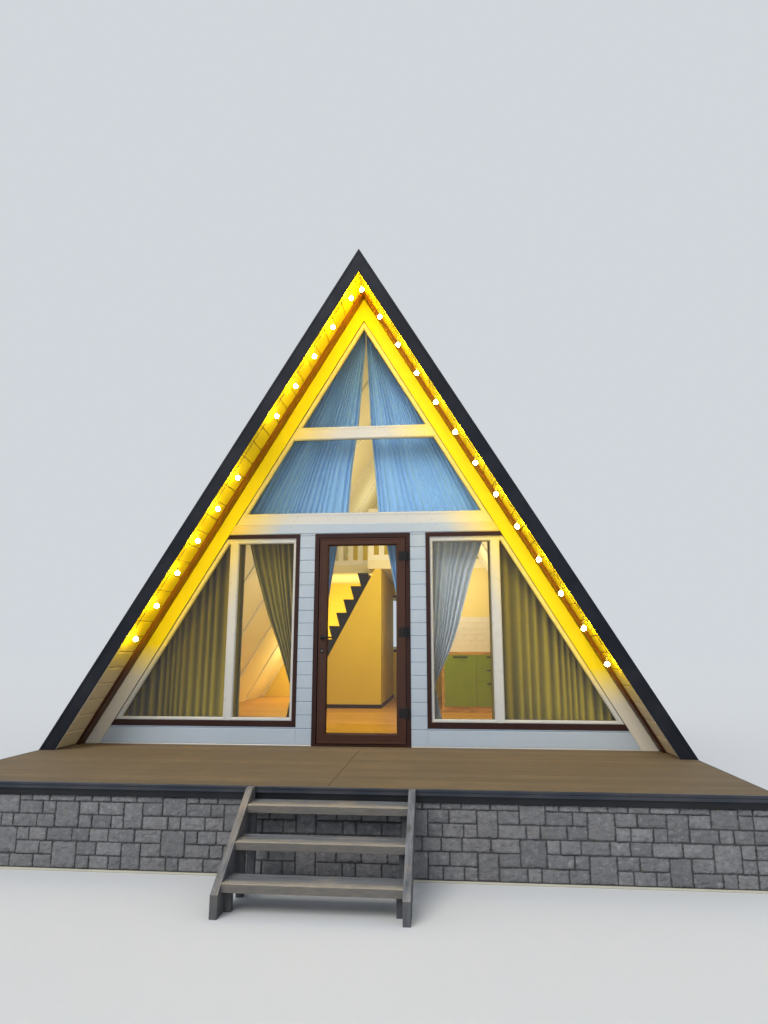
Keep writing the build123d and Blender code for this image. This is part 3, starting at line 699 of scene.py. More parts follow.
def stone_material():
    """Split stone in taupe greys: tone of each block, mottling, pale crystals and a rough face."""
    material, tree = start_material("split stone")
    space = object_pattern(tree)
    own = tone_of(tree)
    mottle = noise(tree, space, 22.0, 8, 0.65)
    base = blend_colour(tree, own, colour((0.160, 0.160, 0.166)), colour((0.240, 0.236, 0.240)))
    base = layer(tree, base, (0.092, 0.095, 0.102), mottle, 0.30, 0.50, 0.6, 0)
    base = layer(tree, base, (0.37, 0.37, 0.378), mottle, 0.54, 0.74, 0, 0.8)
    base = layer(tree, base, (0.5, 0.48, 0.46), noise(tree, space, 160.0, 3), 0.62, 0.72, 0, 0.35)
    stains = noise(tree, object_pattern(tree, (1, 1, 0.5)), 1.1, 6)
    base = layer(tree, base, (0.14, 0.13, 0.125), stains, 0.45, 0.75, 0, 0.35)
    chips = relief(tree, noise(tree, space, 55.0, 7, 0.6), 0.009)
    split = noise(tree, object_pattern(tree, (1, 1, 1.8)), 13.0, 4, 0.5, 0.6)
    end_plain(tree, Base_Color=base, Roughness=0.85, Normal=relief(tree, split, 0.020, 1.0, chips))
    return material


def joint_material():
    """Dark recessed joint behind the blocks."""
    material, tree = start_material("dark panel joint")
    grit = noise(tree, object_pattern(tree), 120.0, 5)
    base = blend_colour(tree, grit, colour((0.050, 0.051, 0.054)), colour((0.115, 0.116, 0.120)))
    end_plain(tree, Base_Color=base, Roughness=0.9, Normal=relief(tree, grit, 0.002))
    return material


def panel_blocks(start, end, height, shift):
    """Blocks (left, right, low, high) that cover a wall from start to end, clipped at its edges."""
    across = np.arange(math.floor((start - shift) / PANEL) - 1, math.ceil((end - shift) / PANEL) + 1)
    up = np.arange(math.ceil(height / COURSE / PANEL_COURSES) + 1) - 1
    first, last, course, courses = PANEL_BLOCKS.T
    along = across[:, None, None] * PANEL
    low = STRIP + (course + PANEL_COURSES * up[None, :, None]) * COURSE
    edges = np.broadcast_arrays(first + shift + along, last + shift + along, low, low + courses * COURSE)
    found = np.stack([edge.ravel() for edge in edges], -1)
    found[:, :2] = found[:, :2].clip(start, end)
    found[:, 2:] = found[:, 2:].clip(STRIP, height)
    return found[(found[:, [1, 3]] - found[:, [0, 2]] > SMALLEST_BLOCK).all(1)]


def stone_wall(name, blocks, place, material):
    """Blocks as low cushions: they rise steeply at the joint and are roughened at random."""
    left, right, low, high = (blocks[:, i, None, None] for i in range(4))
    left, right, low, high = left + JOINT, right - JOINT, low + JOINT, high - JOINT
    u = np.array([0, 0.04, 0.15, 0.3, 0.45, 0.6, 0.75, 0.88, 0.96, 1.0])[None, :, None]
    v = np.array([0, 0.07, 0.22, 0.41, 0.6, 0.79, 0.93, 1.0])[None, None, :]
    count, across, up = len(blocks), u.shape[1], v.shape[2]
    jitter = rng.normal(0, 1, (3, count, across, up))
    tilt = rng.normal(0, 0.0026, (2, count, 1, 1))
    inside = np.zeros((across, up))
    inside[1:-1, 1:-1] = 1
    a = left + (right - left) * (u + 0.016 * jitter[0] * inside)
    b = low + (high - low) * (v + 0.022 * jitter[1] * inside)
    crown = 0.62 + 0.38 * np.sin(np.pi * u) * np.sin(np.pi * v)
    own = 0.72 + 0.22 * rng.random((count, 1, 1))
    face = STONE_RELIEF * crown * own + tilt[0] * (2 * u - 1) + tilt[1] * (2 * v - 1) + 0.0019 * jitter[2]
    out = inside * np.clip(face, 0.003, 0.0155)
    points = place(a, b, out)
    each = across * up
    cell = np.arange(each).reshape(across, up)
    quads = np.stack([cell[:-1, :-1], cell[1:, :-1], cell[1:, 1:], cell[:-1, 1:]], -1).reshape(-1, 4)
    rim = np.concatenate([cell[:, 0], cell[-1, 1:], cell[-2::-1, -1], cell[0, -2:0:-1]])[::-1]
    faces = (np.arange(count)[:, None, None] * each + quads).reshape(-1, 4).tolist()
    faces += (np.arange(count)[:, None] * each + rim).tolist()
    tone = np.repeat(rng.random(count), each)
    return new_piece(name, points, faces, material, tone=tone, smooth=True)


stone = stone_material()
dark_joint = joint_material()
plinth_low, plinth_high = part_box("plinth_front")
front_face = plinth_low.y
back_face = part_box("plinth_back")[1].y
side_face = plinth_high.x
plinth_top = plinth_high.z
QUOIN = 0.15
SEAT = 0.0006


def plinth_place(face, way, turn, along_y=False):
    """Outlines on one plinth wall: across as seen from outside, height, and outwards from its face."""
    def place(a, b, out):
        deep = face + way * SEAT + way * out
        return np.stack(np.broadcast_arrays(*((deep, turn * a, b) if along_y else (turn * a, deep, b))), -1)
    return place


front_stone = plinth_place(front_face, -1, 1)
back_stone = plinth_place(back_face, 1, -1)
right_stone = plinth_place(side_face, 1, 1, True)
left_stone = plinth_place(-side_face, -1, -1, True)
middle = (front_face + back_face) / 2
half_side = (back_face - front_face) / 2
for word, place in (("front", front_stone), ("back", back_stone)):
    covered = panel_blocks(-side_face + QUOIN, side_face - QUOIN, plinth_top, PANEL_START)
    stone_wall(f"stone_panels_{word}", covered, place, stone)
for word, place, way in (("right", right_stone, 1), ("left", left_stone, -1)):
    start = way * middle - half_side + QUOIN
    covered = panel_blocks(start, start + 2 * (half_side - QUOIN), plinth_top, PANEL_START)
    stone_wall(f"stone_panels_{word}", covered, place, stone)
    print(word, "panel blocks:", len(covered))

# %% [markdown]
# The corners are made of separate quoin pieces, one block in each course, and a thin light strip
# closes the foot of the panels all the way round. The strip is a folded profile carried round the
# plan with mitred corners.


# %% Quoins and starter strip
def quoin_blocks(reach_low, reach_high, wide):
    """One block in each course at both ends of a wall."""
    courses = np.arange(math.ceil((plinth_top - STRIP) / COURSE))
    low = STRIP + courses * COURSE
    high = np.minimum(low + COURSE, plinth_top)
    one = np.ones_like(low)
    first = np.stack([reach_low * one, (reach_low + wide) * one, low, high], -1)
    second = np.stack([(reach_high - wide) * one, reach_high * one, low, high], -1)
    return np.concatenate([first, second])


OUT = STONE_RELIEF
for word, place, low, high, wide in (
    ("front", front_stone, -side_face - OUT, side_face + OUT, QUOIN + OUT),
    ("back", back_stone, -side_face - OUT, side_face + OUT, QUOIN + OUT),
    ("right", right_stone, middle - half_side, middle + half_side, QUOIN),
    ("left", left_stone, -middle - half_side, -middle + half_side, QUOIN),
):
    stone_wall(f"quoins_{word}", quoin_blocks(low, high, wide), place, stone)

plan = rectangle(-side_face, side_face, front_face, back_face)
strip_section = [(-0.0005, 0.002), (-0.0005, 0.0135), (-0.0115, 0.014), (-0.0130, 0.012), (-0.0130, 0.002)]
mitred("starter_strip", [plan], strip_section, plan_place, light_strip)
refinish(("plinth_front", "plinth_back", "plinth_sides"), dark_joint)
print("quoin courses:", math.ceil((plinth_top - STRIP) / COURSE))

# %% [markdown]
# The terrace is laid with ribbed boards that run across the front, in two lengths that meet near the
# middle. The ribs are real: a zigzag outline carried along each board, which costs few faces since
# the board is straight. A dark folded edging with two grooves closes the platform's rim.

# %% Terrace boards
DECK_THICKNESS = 0.028
DECK_PITCH = 0.15
LIP = 0.008
BOARD_GAP = 0.005
DECK_JOINT = 0.015
RIB_DEPTH = 0.0018
RIBS = 12


def ribbed_section(width):
    """Board outline of (across, up): flat below, level ribs with sloping grooves between them on top."""
    pitch = (width - 0.006) / RIBS
    steps = np.array([(0.0, 0.0), (0.62, 0.0), (0.74, -1.0), (0.88, -1.0)])
    across = 0.003 + (np.arange(RIBS)[:, None] + steps[None, :, 0]) * pitch
    up = np.broadcast_to(steps[:, 1] * RIB_DEPTH, across.shape)
    top = np.stack([across.ravel(), up.ravel()], -1)
    foot = [(0.0, -DECK_THICKNESS), (width, -DECK_THICKNESS), (width, -0.003), (width - 0.003, 0.0)]
    return np.concatenate([foot, top[::-1], [(0.0, -0.003)]])


def deck_field(y_start, y_end, lengths):
    """Boards side by side between two depths, one set for each (start, end) across the house."""
    count = round((y_end - y_start) / DECK_PITCH)
    pitch = (y_end - y_start) / count
    section = ribbed_section(pitch - BOARD_GAP)
    y = y_start + BOARD_GAP / 2 + np.arange(count)[:, None] * pitch + section[None, :, 0]
    z = np.broadcast_to(section[:, 1], y.shape)
    return np.concatenate([np.stack([at(x0, y, z), at(x1, y, z)], 1) for x0, x1 in lengths])


deck_low, deck_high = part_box("deck_boards")
deck_half = deck_high.x
deck_front = deck_low.y - FRONT
deck_back = deck_high.y - FRONT
lengths = [(-deck_half + LIP, DECK_JOINT - 0.002), (DECK_JOINT + 0.002, deck_half - LIP)]
boards = np.concatenate([
    deck_field(deck_front + LIP, 0.0, lengths),
    deck_field(LENGTH, deck_back - LIP, lengths),
])
terrace = carried("terrace_boards", boards, deck_brown)
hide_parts("deck_boards")
print("terrace boards:", len(boards))

edge_section = [
    (0.0000, FLOOR + 0.0008), (LIP, FLOOR + 0.0008), (LIP, FLOOR - 0.0025), (0.006, FLOOR - 0.003),
    (0.006, FLOOR - 0.041), (-0.004, FLOOR - 0.0445), (-0.008, FLOOR - 0.042), (-0.008, FLOOR - 0.037),
    (-0.004, FLOOR - 0.034), (-0.004, FLOOR - 0.0225), (0.000, FLOOR - 0.0205), (-0.004, FLOOR - 0.0185),
    (-0.006, FLOOR - 0.004), (-0.004, FLOOR - 0.0003),
]
deck_plan = rectangle(-deck_half, deck_half, deck_low.y, deck_high.y)
edging = mitred("platform_edging", [deck_plan], edge_section, plan_place, edge_dark)

# %% [markdown]
# The steps are rough sawn planks gone grey. Each tread is a rounded outline carried along its length
# through many stations, and the stations wander by a millimetre or two, so its edges are not ruled
# lines. The stringers are thick planks cut to a slanting outline with their edges eased.


# %% Steps
def eased_plate(outlines, back, front, ease):
    """Plates with eased edges, as one bar each: outlines at four depths, the outer two drawn in."""
    rings = []
    for outline in outlines:
        outline = np.array(outline, float)
        way = 1 if front > back else -1
        inner = inset_outline(outline, ease)
        stations = ((inner, back), (outline, back + way * ease),
                    (outline, front - way * ease), (inner, front))
        rings.append([np.concatenate([flat, np.full((len(flat), 1), depth)], 1) for flat, depth in stations])
    return np.array(rings)


TREAD_STATIONS = 26


def step_planks(boxes):
    """Planks along X with rounded edges: the outline drifts by a smooth random amount at each station."""
    rings = []
    for low, high in boxes:
        size = high - low
        section = rounded_section(size[1], size[2], 0.0035, 3)
        x = np.linspace(low[0], high[0], TREAD_STATIONS)
        drift = np.cumsum(rng.normal(0, 0.00035, (TREAD_STATIONS, 2)), 0)
        drift -= np.linspace(0, 1, TREAD_STATIONS)[:, None] * drift[-1]
        y = (low[1] + high[1]) / 2 + section[None, :, 0] + drift[:, :1]
        z = (low[2] + high[2]) / 2 + section[None, :, 1] * (1 - 0.02 * rng.random((TREAD_STATIONS, 1)))
        z = np.minimum(z + drift[:, 1:] * 0.5, high[2])
        rings.append(np.stack([np.broadcast_to(x[:, None], y.shape), y, z], -1))
    return np.array(rings)


tread_boxes = solid_boxes("step_treads")
planks = step_planks(tread_boxes)
treads = carried("tread_planks", planks, step_timber, smooth=False)
depth = planks[..., 1]
front_share = (depth.max((1, 2), keepdims=True) - depth) / np.ptp(depth, (1, 2), keepdims=True)
give_numbers(treads.data, "front", front_share.ravel())
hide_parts("step_treads")
print("treads:", len(tread_boxes))

refinish(("step_stringers", "step_legs"), stringer_timber)
bevel(("step_stringers", "step_legs"), 0.004)

# %% [markdown]
# Each tread is held by pairs of screws over the legs. A screw is a turned piece: a flat head with a
# small recess. The same recipe serves for the fixings on the hinges later.

# %% Screws in the treads
SCREW = [(-0.002, 0.0046), (0.0003, 0.0046), (0.0008, 0.0040), (0.0008, 0.0022), (-0.0004, 0.0016)]
heads = []
for low, high in tread_boxes:
    for x in (low[0] + 0.022, high[0] - 0.022):
        for y in (low[1] + 0.055, high[1] - 0.055):
            heads.append((x, y, high[2] - 0.0002))
turned("tread_screws", SCREW, heads, black_fitting, sides=10)
print("screws:", len(heads))

# %% [markdown]
# The roof is dark sheet metal with standing seams. The photo hides it behind the gable, so its seams
# follow the usual half metre. Each pan between two seams has a very shallow crown and a slow wave, as
# thin sheet always has. A seam is a folded bar on a narrow foot, dressed down flat at both ends.

# %% Standing-seam roof
SHEET_TOP = 0.02
SEAM_TOP = 0.155
SEAM_FOOT = 0.060
SEAM_HEIGHT = 0.025


def roof_pans(name, side, edges, material):
    """Flat outline across the pans, carried down the slope; the crown and the wave lift it by under 3 mm."""
    share = np.array([0.0, 0.15, 0.32, 0.5, 0.68, 0.85])
    pan = np.diff(edges)
    across = np.append((edges[:-1, None] + share * pan[:, None]).ravel(), edges[-1])
    crown = np.append(np.tile(0.001 * np.sin(np.pi * share) ** 2, len(pan)), 0.0)
    along = np.linspace(SHEET_TOP, slope_foot(0.0), 24)
    wave = 0.0008 * np.sin(along[:, None] * 7.3 + across * 5.1) ** 2
    lift = np.concatenate([0.0007 + crown + wave, np.full((len(along), 2), 0.0002)], 1)
    y = np.broadcast_to(np.append(across, [edges[-1], edges[0]]), lift.shape)
    x, z = on_slope(along[:, None], -lift)
    piece = carried(name, at(side * x, y, z)[None], material)


def roof_seams(word, side, middles, material):
    """Folded bars: a foot, a thin web and an 8 mm fold, lower at the first and last station."""
    fold = np.array([
        (-0.010, 0.0), (0.010, 0.0), (0.0025, 0.002), (0.0025, 0.017), (0.004, 0.018), (0.004, 0.024),
        (0.003, SEAM_HEIGHT), (-0.003, SEAM_HEIGHT), (-0.004, 0.024), (-0.0018, 0.002),
    ])
    foot = slope_foot(0.0, SEAM_FOOT)
    along = np.array([SEAM_TOP, SEAM_TOP + 0.03, foot - 0.03, foot])[:, None]
    height = fold[:, 1] * np.array([0.3, 1.0, 1.0, 0.3])[:, None] + 0.0005
    x, z = on_slope(along, -height)
    rings = at(side * x, middles[:, None, None] + fold[:, 0], z)
    piece = carried(f"seam_bars_{word}", rings, material)
    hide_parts(f"roof_seams_{word}")


seam_middles = np.sort([(low[1] + high[1]) / 2 - FRONT for low, high in solid_boxes("roof_seams_right")])
for side, word in ((1, "right"), (-1, "left")):
    roof_pans(f"roof_pans_{word}", side, seam_middles, charcoal)
    roof_seams(word, side, seam_middles, charcoal)
print("seams:", len(seam_middles), "pitch:", round(float(np.diff(seam_middles).mean()), 3))

# %% [markdown]
# The roof's front and back edges are covered by dark barge flashings. A flashing is a thin folded
# profile: a broad face, a small drip at its foot and a lap that turns onto the roofing. Trims that
# follow the slope, such as the light strip at the soffit's edge, are made by the same function.


# %% Flashings and trims along the slopes
def slope_run(name, section, material, foot=0.0):
    """A section of (depth, y) carried up both slopes, cut level at its foot and upright at the ridge."""
    section = np.array(section, float)
    depth, y = section[:, 0], section[:, 1]
    rings = []
    for along in (slope_foot(depth, foot), depth * COS / SIN):
        x, z = on_slope(along, depth)
        rings.append(at(x, y, z))
    return carried(name, both_sides(np.array(rings)[None]), material)


def flashing(edge, way):
    """Barge flashing at a gable edge; way is -1 at the front and 1 at the back."""
    def y(out):
        return edge + way * out
    return [
        (0.1285, y(-0.007)), (0.1285, y(0.001)), (0.131, y(0.006)), (0.127, y(0.0075)),
        (0.122, y(0.0035)), (0.020, y(0.0035)), (0.014, y(0.0065)), (-0.004, y(0.0065)),
        (-0.0065, y(0.003)), (-0.0065, y(-0.024)), (-0.0045, y(-0.0245)), (-0.0045, y(0.0005)),
        (0.124, y(0.0008)), (0.124, y(-0.007)),
    ]


for word, edge, way in (("front", roof_front, -1), ("back", roof_back, 1)):
    section = np.array(flashing(edge, way))
    piece = slope_run(f"barge_flashing_{word}", section, charcoal)
    lip = edge - way * 0.008
    strip = [(0.1265, lip), (0.1265, lip - way * 0.030), (0.1225, lip - way * 0.030), (0.1225, lip)]
    piece = slope_run(f"soffit_edge_strip_{word}", strip, rake_cream)
print("flashing outline:", len(section), "points")

# %% [markdown]
# Soffit and ceiling boards run from front to back and sit one under the other down the slope. Every
# board is its own solid with eased edges and a narrow shadow gap, so the seams that cross the
# overhang in the photo are real grooves.

# %% Soffit and ceiling boards
SOFFIT_PITCH = 0.178
PANEL_DROP = 2.75
CEILING_JOINTS = np.arange(0.57, LENGTH, 1.27)


def slope_boards(name, pitch, spans, deep, shallow, gap, ease, material):
    """Boards along Y on both slopes, between two depths inside the roof, from each y0 to its y1."""
    start = deep * COS / SIN + 0.0015
    end = slope_foot(deep) - 0.001
    count = math.ceil((end - start) / pitch)
    s0 = end - pitch * (np.arange(count)[:, None] + 1) + gap / 2
    s0 = np.maximum(s0, start)
    s1 = end - pitch * np.arange(count)[:, None] - gap / 2
    along = np.concatenate([s0, s1, s1, s1 - ease, s0 + ease, s0], 1)
    depth = np.array([shallow, shallow, deep - ease, deep, deep, deep - ease])
    x, z = on_slope(along, np.broadcast_to(depth, along.shape))
    rings = [np.stack([at(x, y0, z), at(x, y1, z)], 1) for y0, y1 in spans]
    rings = both_sides(np.concatenate(rings))
    print(name, len(rings), "boards")
    return carried(name, rings, material)


overhangs = [(roof_front + 0.026, -0.001), (LENGTH + 0.001, roof_back - 0.026)]
soffit = slope_boards("soffit_panels", SOFFIT_PITCH, overhangs, SOFFIT_DEPTH, SOFFIT_BACK, 0.006, 0.008,
                      soffit_cream)
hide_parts("soffits")
stops = np.concatenate([[0.001], CEILING_JOINTS, [LENGTH - 0.001]])
spans = [(y0 + 0.002, y1 - 0.002) for y0, y1 in zip(stops[:-1], stops[1:])]
ceiling = slope_boards("ceiling_panels", PANEL_DROP, spans, SOFFIT_DEPTH, SOFFIT_BACK, 0.002, 0.003,
                       ceiling_white)
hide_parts("ceilings")
spans = [(y - 0.013, y + 0.013) for y in CEILING_JOINTS]
strips = slope_boards("ceiling_joint_strips", PANEL_DROP, spans, SOFFIT_DEPTH + 0.018, SOFFIT_DEPTH - 0.004,
                      0.002, 0.002, railing_white)

# %% [markdown]
# The front wall is clad with level boards, 131 mm apart, with a narrow groove between them. A board
# is an outline in height and depth carried across; its ends can follow the slope, because the width
# between the slopes is worked out for each point of the outline.

# %% Facade boards
BOARD = 0.131
GROOVE = 0.005
SKIN = 0.008
TOP_SEAM = 2.131
WALL_FOOT = 0.012


def board_levels(low, high):
    """Lower and upper edge of each facade board between two heights, counted down from the top seam."""
    seams = TOP_SEAM - BOARD * np.arange(-30, 40)
    seams = np.sort(seams[(seams > low + 0.03) & (seams < high - 0.012)])
    levels = np.concatenate([[low], seams, [high]])
    return levels[:-1] + GROOVE / 2, levels[1:] - GROOVE / 2


def facade_rings(low, high, left, right, face, way):
    """Board outlines of (height, depth); left and right give the x of both ends at each height."""
    z0, z1 = board_levels(low, high)
    z0, z1 = z0[:, None], z1[:, None]
    ease = 0.004
    z = np.concatenate([z0, z1, z1, z1 - ease, z0 + ease, z0], 1)
    out = np.array([0.0003, 0.0003, SKIN - ease, SKIN, SKIN, SKIN - ease])
    y = np.broadcast_to(face + way * out, z.shape)
    return np.stack([at(left(z), y, z), at(right(z), y, z)], 1)


def fixed(x):
    """A board end that stays at one x."""
    return lambda z: np.full_like(z, x)


def to_slope(depth, side=1):
    """A board end that follows a slope, 1 mm behind this depth."""
    return lambda z: side * slope_x(z, depth + 0.001)


frame_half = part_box("door_frame")[1].x
pier_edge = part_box("front_piers")[1].x
casing_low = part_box("window_casings")[0].z - FLOOR
door_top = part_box("front_piers")[1].z - FLOOR
band_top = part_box("front_band")[1].z - FLOOR
pier = facade_rings(WALL_FOOT, door_top, fixed(frame_half + 0.001), fixed(pier_edge - 0.001), 0.0, -1)
sill = facade_rings(WALL_FOOT, casing_low, fixed(pier_edge + 0.001), to_slope(RAKE_DEPTH), 0.0, -1)
band = facade_rings(door_top + 0.004, band_top, to_slope(RAKE_DEPTH, -1), to_slope(RAKE_DEPTH), 0.0, -1)
siding = carried("front_siding", np.concatenate([both_sides(pier), both_sides(sill), band]), white_boards)
print("front boards:", 2 * len(pier) + 2 * len(sill) + len(band))

# %% [markdown]
# The back gable repeats the front's boards and trims, with a window in each storey. The boards are
# split beside the windows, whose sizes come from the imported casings.

# %% Back wall boards
back_boxes = [(low, high) for low, high in solid_boxes("window_casings") if high[1] > BACK_ZONE]
back_boxes.sort(key=lambda pair: pair[0][2])
back_ends = (to_slope(SOFFIT_DEPTH, -1), to_slope(SOFFIT_DEPTH))
rings = []
level = WALL_FOOT
for low, high in back_boxes:
    z0, z1 = low[2] - FLOOR, high[2] - FLOOR
    rings.append(facade_rings(level, z0, *back_ends, LENGTH, 1))
    rings.append(both_sides(facade_rings(z0, z1, fixed(high[0] + 0.001), back_ends[1], LENGTH, 1)))
    level = z1
rings.append(facade_rings(level, RISE - SOFFIT_DEPTH / SIN - 0.02, *back_ends, LENGTH, 1))
back_siding = carried("back_siding", np.concatenate(rings), white_boards)
print("back boards:", sum(len(r) for r in rings))

# %% [markdown]
# Beside the glass a broad smooth board follows each slope, between the brown trim and the window
# frame. Its face is lifted a few millimetres and its edges are eased. Thin dark seals mark the joint
# to the frame.

# %% Rake boards, seals and the foot strip
rake_face = [
    (TRIM_DEPTH + 0.0015, -0.0003), (TRIM_DEPTH + 0.0015, -0.005), (TRIM_DEPTH + 0.0045, -0.0075),
    (RAKE_DEPTH - 0.006, -0.0075), (RAKE_DEPTH - 0.003, -0.005), (RAKE_DEPTH - 0.003, -0.0003),
]
piece = slope_run("rake_board_faces", rake_face, rake_cream)
seal = [(RAKE_DEPTH - 0.002, -0.0003), (RAKE_DEPTH - 0.002, -0.0022), (RAKE_DEPTH + 0.002, -0.0022),
        (RAKE_DEPTH + 0.002, 0.0055), (RAKE_DEPTH + 0.0002, 0.0055), (RAKE_DEPTH + 0.0002, -0.0003)]
slope_run("rake_seals", seal, sealing, foot=casing_low)
foot_strip = np.array([(0.001, 0.0), (0.001, -0.011), (0.007, -0.0125), (0.012, -0.0095), (0.012, 0.0)])
foot_ends = (frame_half + 0.001, slope_x(0.001, RAKE_DEPTH + 0.004))
rings = [[at(x, foot_strip[:, 1], foot_strip[:, 0]) for x in foot_ends]]
carried("wall_foot_strip", both_sides(np.array(rings)), frame_white)
print("rake board width:", round(RAKE_DEPTH - TRIM_DEPTH, 3))

# %% [markdown]
# Window frames are plastic profiles. Round every pane lies a sloping bead with a thin black seal at
# the glass, and a shallow step runs round the outside of each opening. Each is a small outline
# carried round the pane with mitred corners, in the plane of its wall.

# %% Beads and seals round the panes
GLASS_FACE = 0.035


def slope_pane(z0, z1):
    """A pane between the slopes, as a triangle if its top is the apex."""
    a, b = slope_x(z0, PANE_DEPTH), slope_x(z1, PANE_DEPTH)
    if b < 0.002:
        return [(-a, z0), (a, z0), (0.0, RISE - PANE_DEPTH / SIN)]
    return [(-a, z0), (a, z0), (b, z1), (-b, z1)]


glass_boxes = solid_boxes("gable_glass")
gable_panes = [slope_pane(low[2] - FLOOR, high[2] - FLOOR) for low, high in glass_boxes]
side_panes = []
back_panes = []
for low, high in solid_boxes("window_glass"):
    z0, z1 = low[2] - FLOOR, high[2] - FLOOR
    if low[1] > BACK_ZONE:
        back_panes.append(rectangle(low[0], high[0], z0, z1))
    elif low[0] > 0 and abs(high[0] - slope_x(z0, PANE_DEPTH)) < 0.01:
        wide, narrow = slope_x(z0, PANE_DEPTH), slope_x(z1, PANE_DEPTH)
        side_panes += [[(low[0], z0), (wide, z0), (narrow, z1), (low[0], z1)],
                       [(-wide, z0), (-low[0], z0), (-low[0], z1), (-narrow, z1)]]
    elif low[0] > 0:
        side_panes += [rectangle(low[0], high[0], z0, z1), rectangle(-high[0], -low[0], z0, z1)]
print("panes:", len(gable_panes), "gable,", len(side_panes), "beside the door,",
      len(back_panes), "at the back")

bead = [(0.0004, GLASS_FACE - 0.0005), (0.0004, 0.0095), (0.0025, 0.0085), (0.0075, 0.018),
        (0.009, GLASS_FACE - 0.0005)]
rubber = [(0.0085, GLASS_FACE - 0.0004), (0.0085, GLASS_FACE - 0.0035), (0.0115, GLASS_FACE - 0.0028),
          (0.0115, GLASS_FACE - 0.0004)]
step = [(-0.020, 0.0065), (-0.020, 0.0042), (-0.018, 0.003), (-0.005, 0.003), (-0.003, 0.0045),
        (-0.003, 0.0065)]
for word, panes, place in (("front", gable_panes + side_panes, front_place),
                           ("back", back_panes, back_place)):
    piece = mitred(f"glazing_beads_{word}", panes, bead, place, frame_white)
    mitred(f"glazing_seals_{word}", panes, rubber, place, sealing)
    piece = mitred(f"frame_steps_{word}", panes, step, place, frame_white)

# %% [markdown]
# The door leaf is a brown profile with a raised lip along its outer edge, a sloping bead at the
# glass and mitred corners. These ride on the door, since they swing with it.

# %% Door profiles
LIP_RISE = 0.0034
leaf_low, leaf_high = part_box("door_leaf")
leaf_face = leaf_low.y - FRONT
leaf_back = leaf_high.y - FRONT
leaf = rectangle(leaf_low.x, leaf_high.x, leaf_low.z - FLOOR, leaf_high.z - FLOOR)
glass_low, glass_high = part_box("door_glass")
door_pane = rectangle(glass_low.x, glass_high.x, glass_low.z - FLOOR, glass_high.z - FLOOR)
glass_face = glass_low.y - FRONT
lip = [
    (0.0006, leaf_face), (0.0006, leaf_face - 0.002), (0.002, leaf_face - LIP_RISE),
    (0.016, leaf_face - LIP_RISE), (0.019, leaf_face - 0.0006), (0.019, leaf_face),
]
door_bead = [
    (-0.014, leaf_face), (-0.014, leaf_face - 0.0012), (-0.011, leaf_face - 0.003),
    (0.002, leaf_face - 0.002), (0.013, glass_face - 0.004), (0.013, glass_face - 0.0004),
    (0.0004, glass_face - 0.0004), (0.0004, leaf_face),
]
door_rubber = [
    (0.0126, glass_face - 0.0004), (0.0126, glass_face - 0.0035),
    (0.0155, glass_face - 0.0028), (0.0155, glass_face - 0.0004),
]
for name, outline, section, material in (
    ("door_edge_lip", leaf, lip, door_coat),
    ("door_beads", door_pane, door_bead, door_coat),
    ("door_seals", door_pane, door_rubber, sealing),
):
    piece = mitred(name, [outline], section, front_place, material, "door")
inner_bead = [(x, glass_face + (glass_high.y - glass_low.y) + (glass_face - y)) for x, y in door_bead[3:7]]
mitred("door_inner_beads", [door_pane], inner_bead, front_place, door_coat, "door")
print("door leaf:", round(leaf_high.x - leaf_low.x, 3), "by", round(leaf_high.z - leaf_low.z, 3), "m")

# %% [markdown]
# Where four profiles meet, a hairline shows at forty-five degrees. Each hairline is a thin dark strip
# laid on the profile's face, from the corner of the leaf to the corner of the glass.

# %% Mitre lines
FRAME_WIDTH = 0.045


def hairlines(name, outer, inner, face, place, body, width=0.0009):
    """Thin strips from each outer corner to the matching inner corner, standing 0.2 mm off the face."""
    rings = []
    for a, b in zip(np.array(outer, float), np.array(inner, float)):
        along = (b - a) / np.linalg.norm(b - a)
        side = np.array([-along[1], along[0]]) * width / 2
        a, b = a + along * 0.004, b - along * 0.003
        section = [(side, 0.0), (-side, 0.0), (-side, -0.0002), (side, -0.0002)]
        rings.append([[place(*(end + s), face + d) for s, d in section] for end in (a, b)])
    return carried(name, np.array(rings), sealing, body)


hairlines("door_mitres", leaf, door_pane, leaf_face - LIP_RISE, front_place, "door")
frame_low, frame_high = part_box("door_frame")
frame_face = frame_low.y - FRONT
frame_outer = [(frame_low.x, frame_high.z - FLOOR), (frame_high.x, frame_high.z - FLOOR)]
jamb = frame_high.x - FRAME_WIDTH
frame_inner = [(-jamb, frame_high.z - FLOOR - FRAME_WIDTH), (jamb, frame_high.z - FLOOR - FRAME_WIDTH)]
hairlines("door_frame_mitres", frame_outer, frame_inner, frame_face - 0.0002, front_place, "cabin")

# %% [markdown]
# The door hangs on three black surface hinges. Their plates are flat outlines with eased edges, one on
# the leaf and one on the frame, and their screws and caps are turned. Pins and knuckles are the packed
# ones with eased edges.

# %% Hinges
HINGE_PLATE = 0.0046


def rounded_outline(x0, x1, z0, z1, radius, steps=5):
    """Rectangle with rounded corners, as (x, z) points."""
    flat = rounded_section(x1 - x0, z1 - z0, radius, steps)
    return flat + np.array([(x0 + x1) / 2, (z0 + z1) / 2])


def front_plates(name, outlines, back, front, ease, material, body):
    """Plates in the plane of the front wall, between two depths."""
    rings = eased_plate(outlines, back, front, ease)
    return carried(name, at(rings[..., 0], rings[..., 2], rings[..., 1]), material, body)


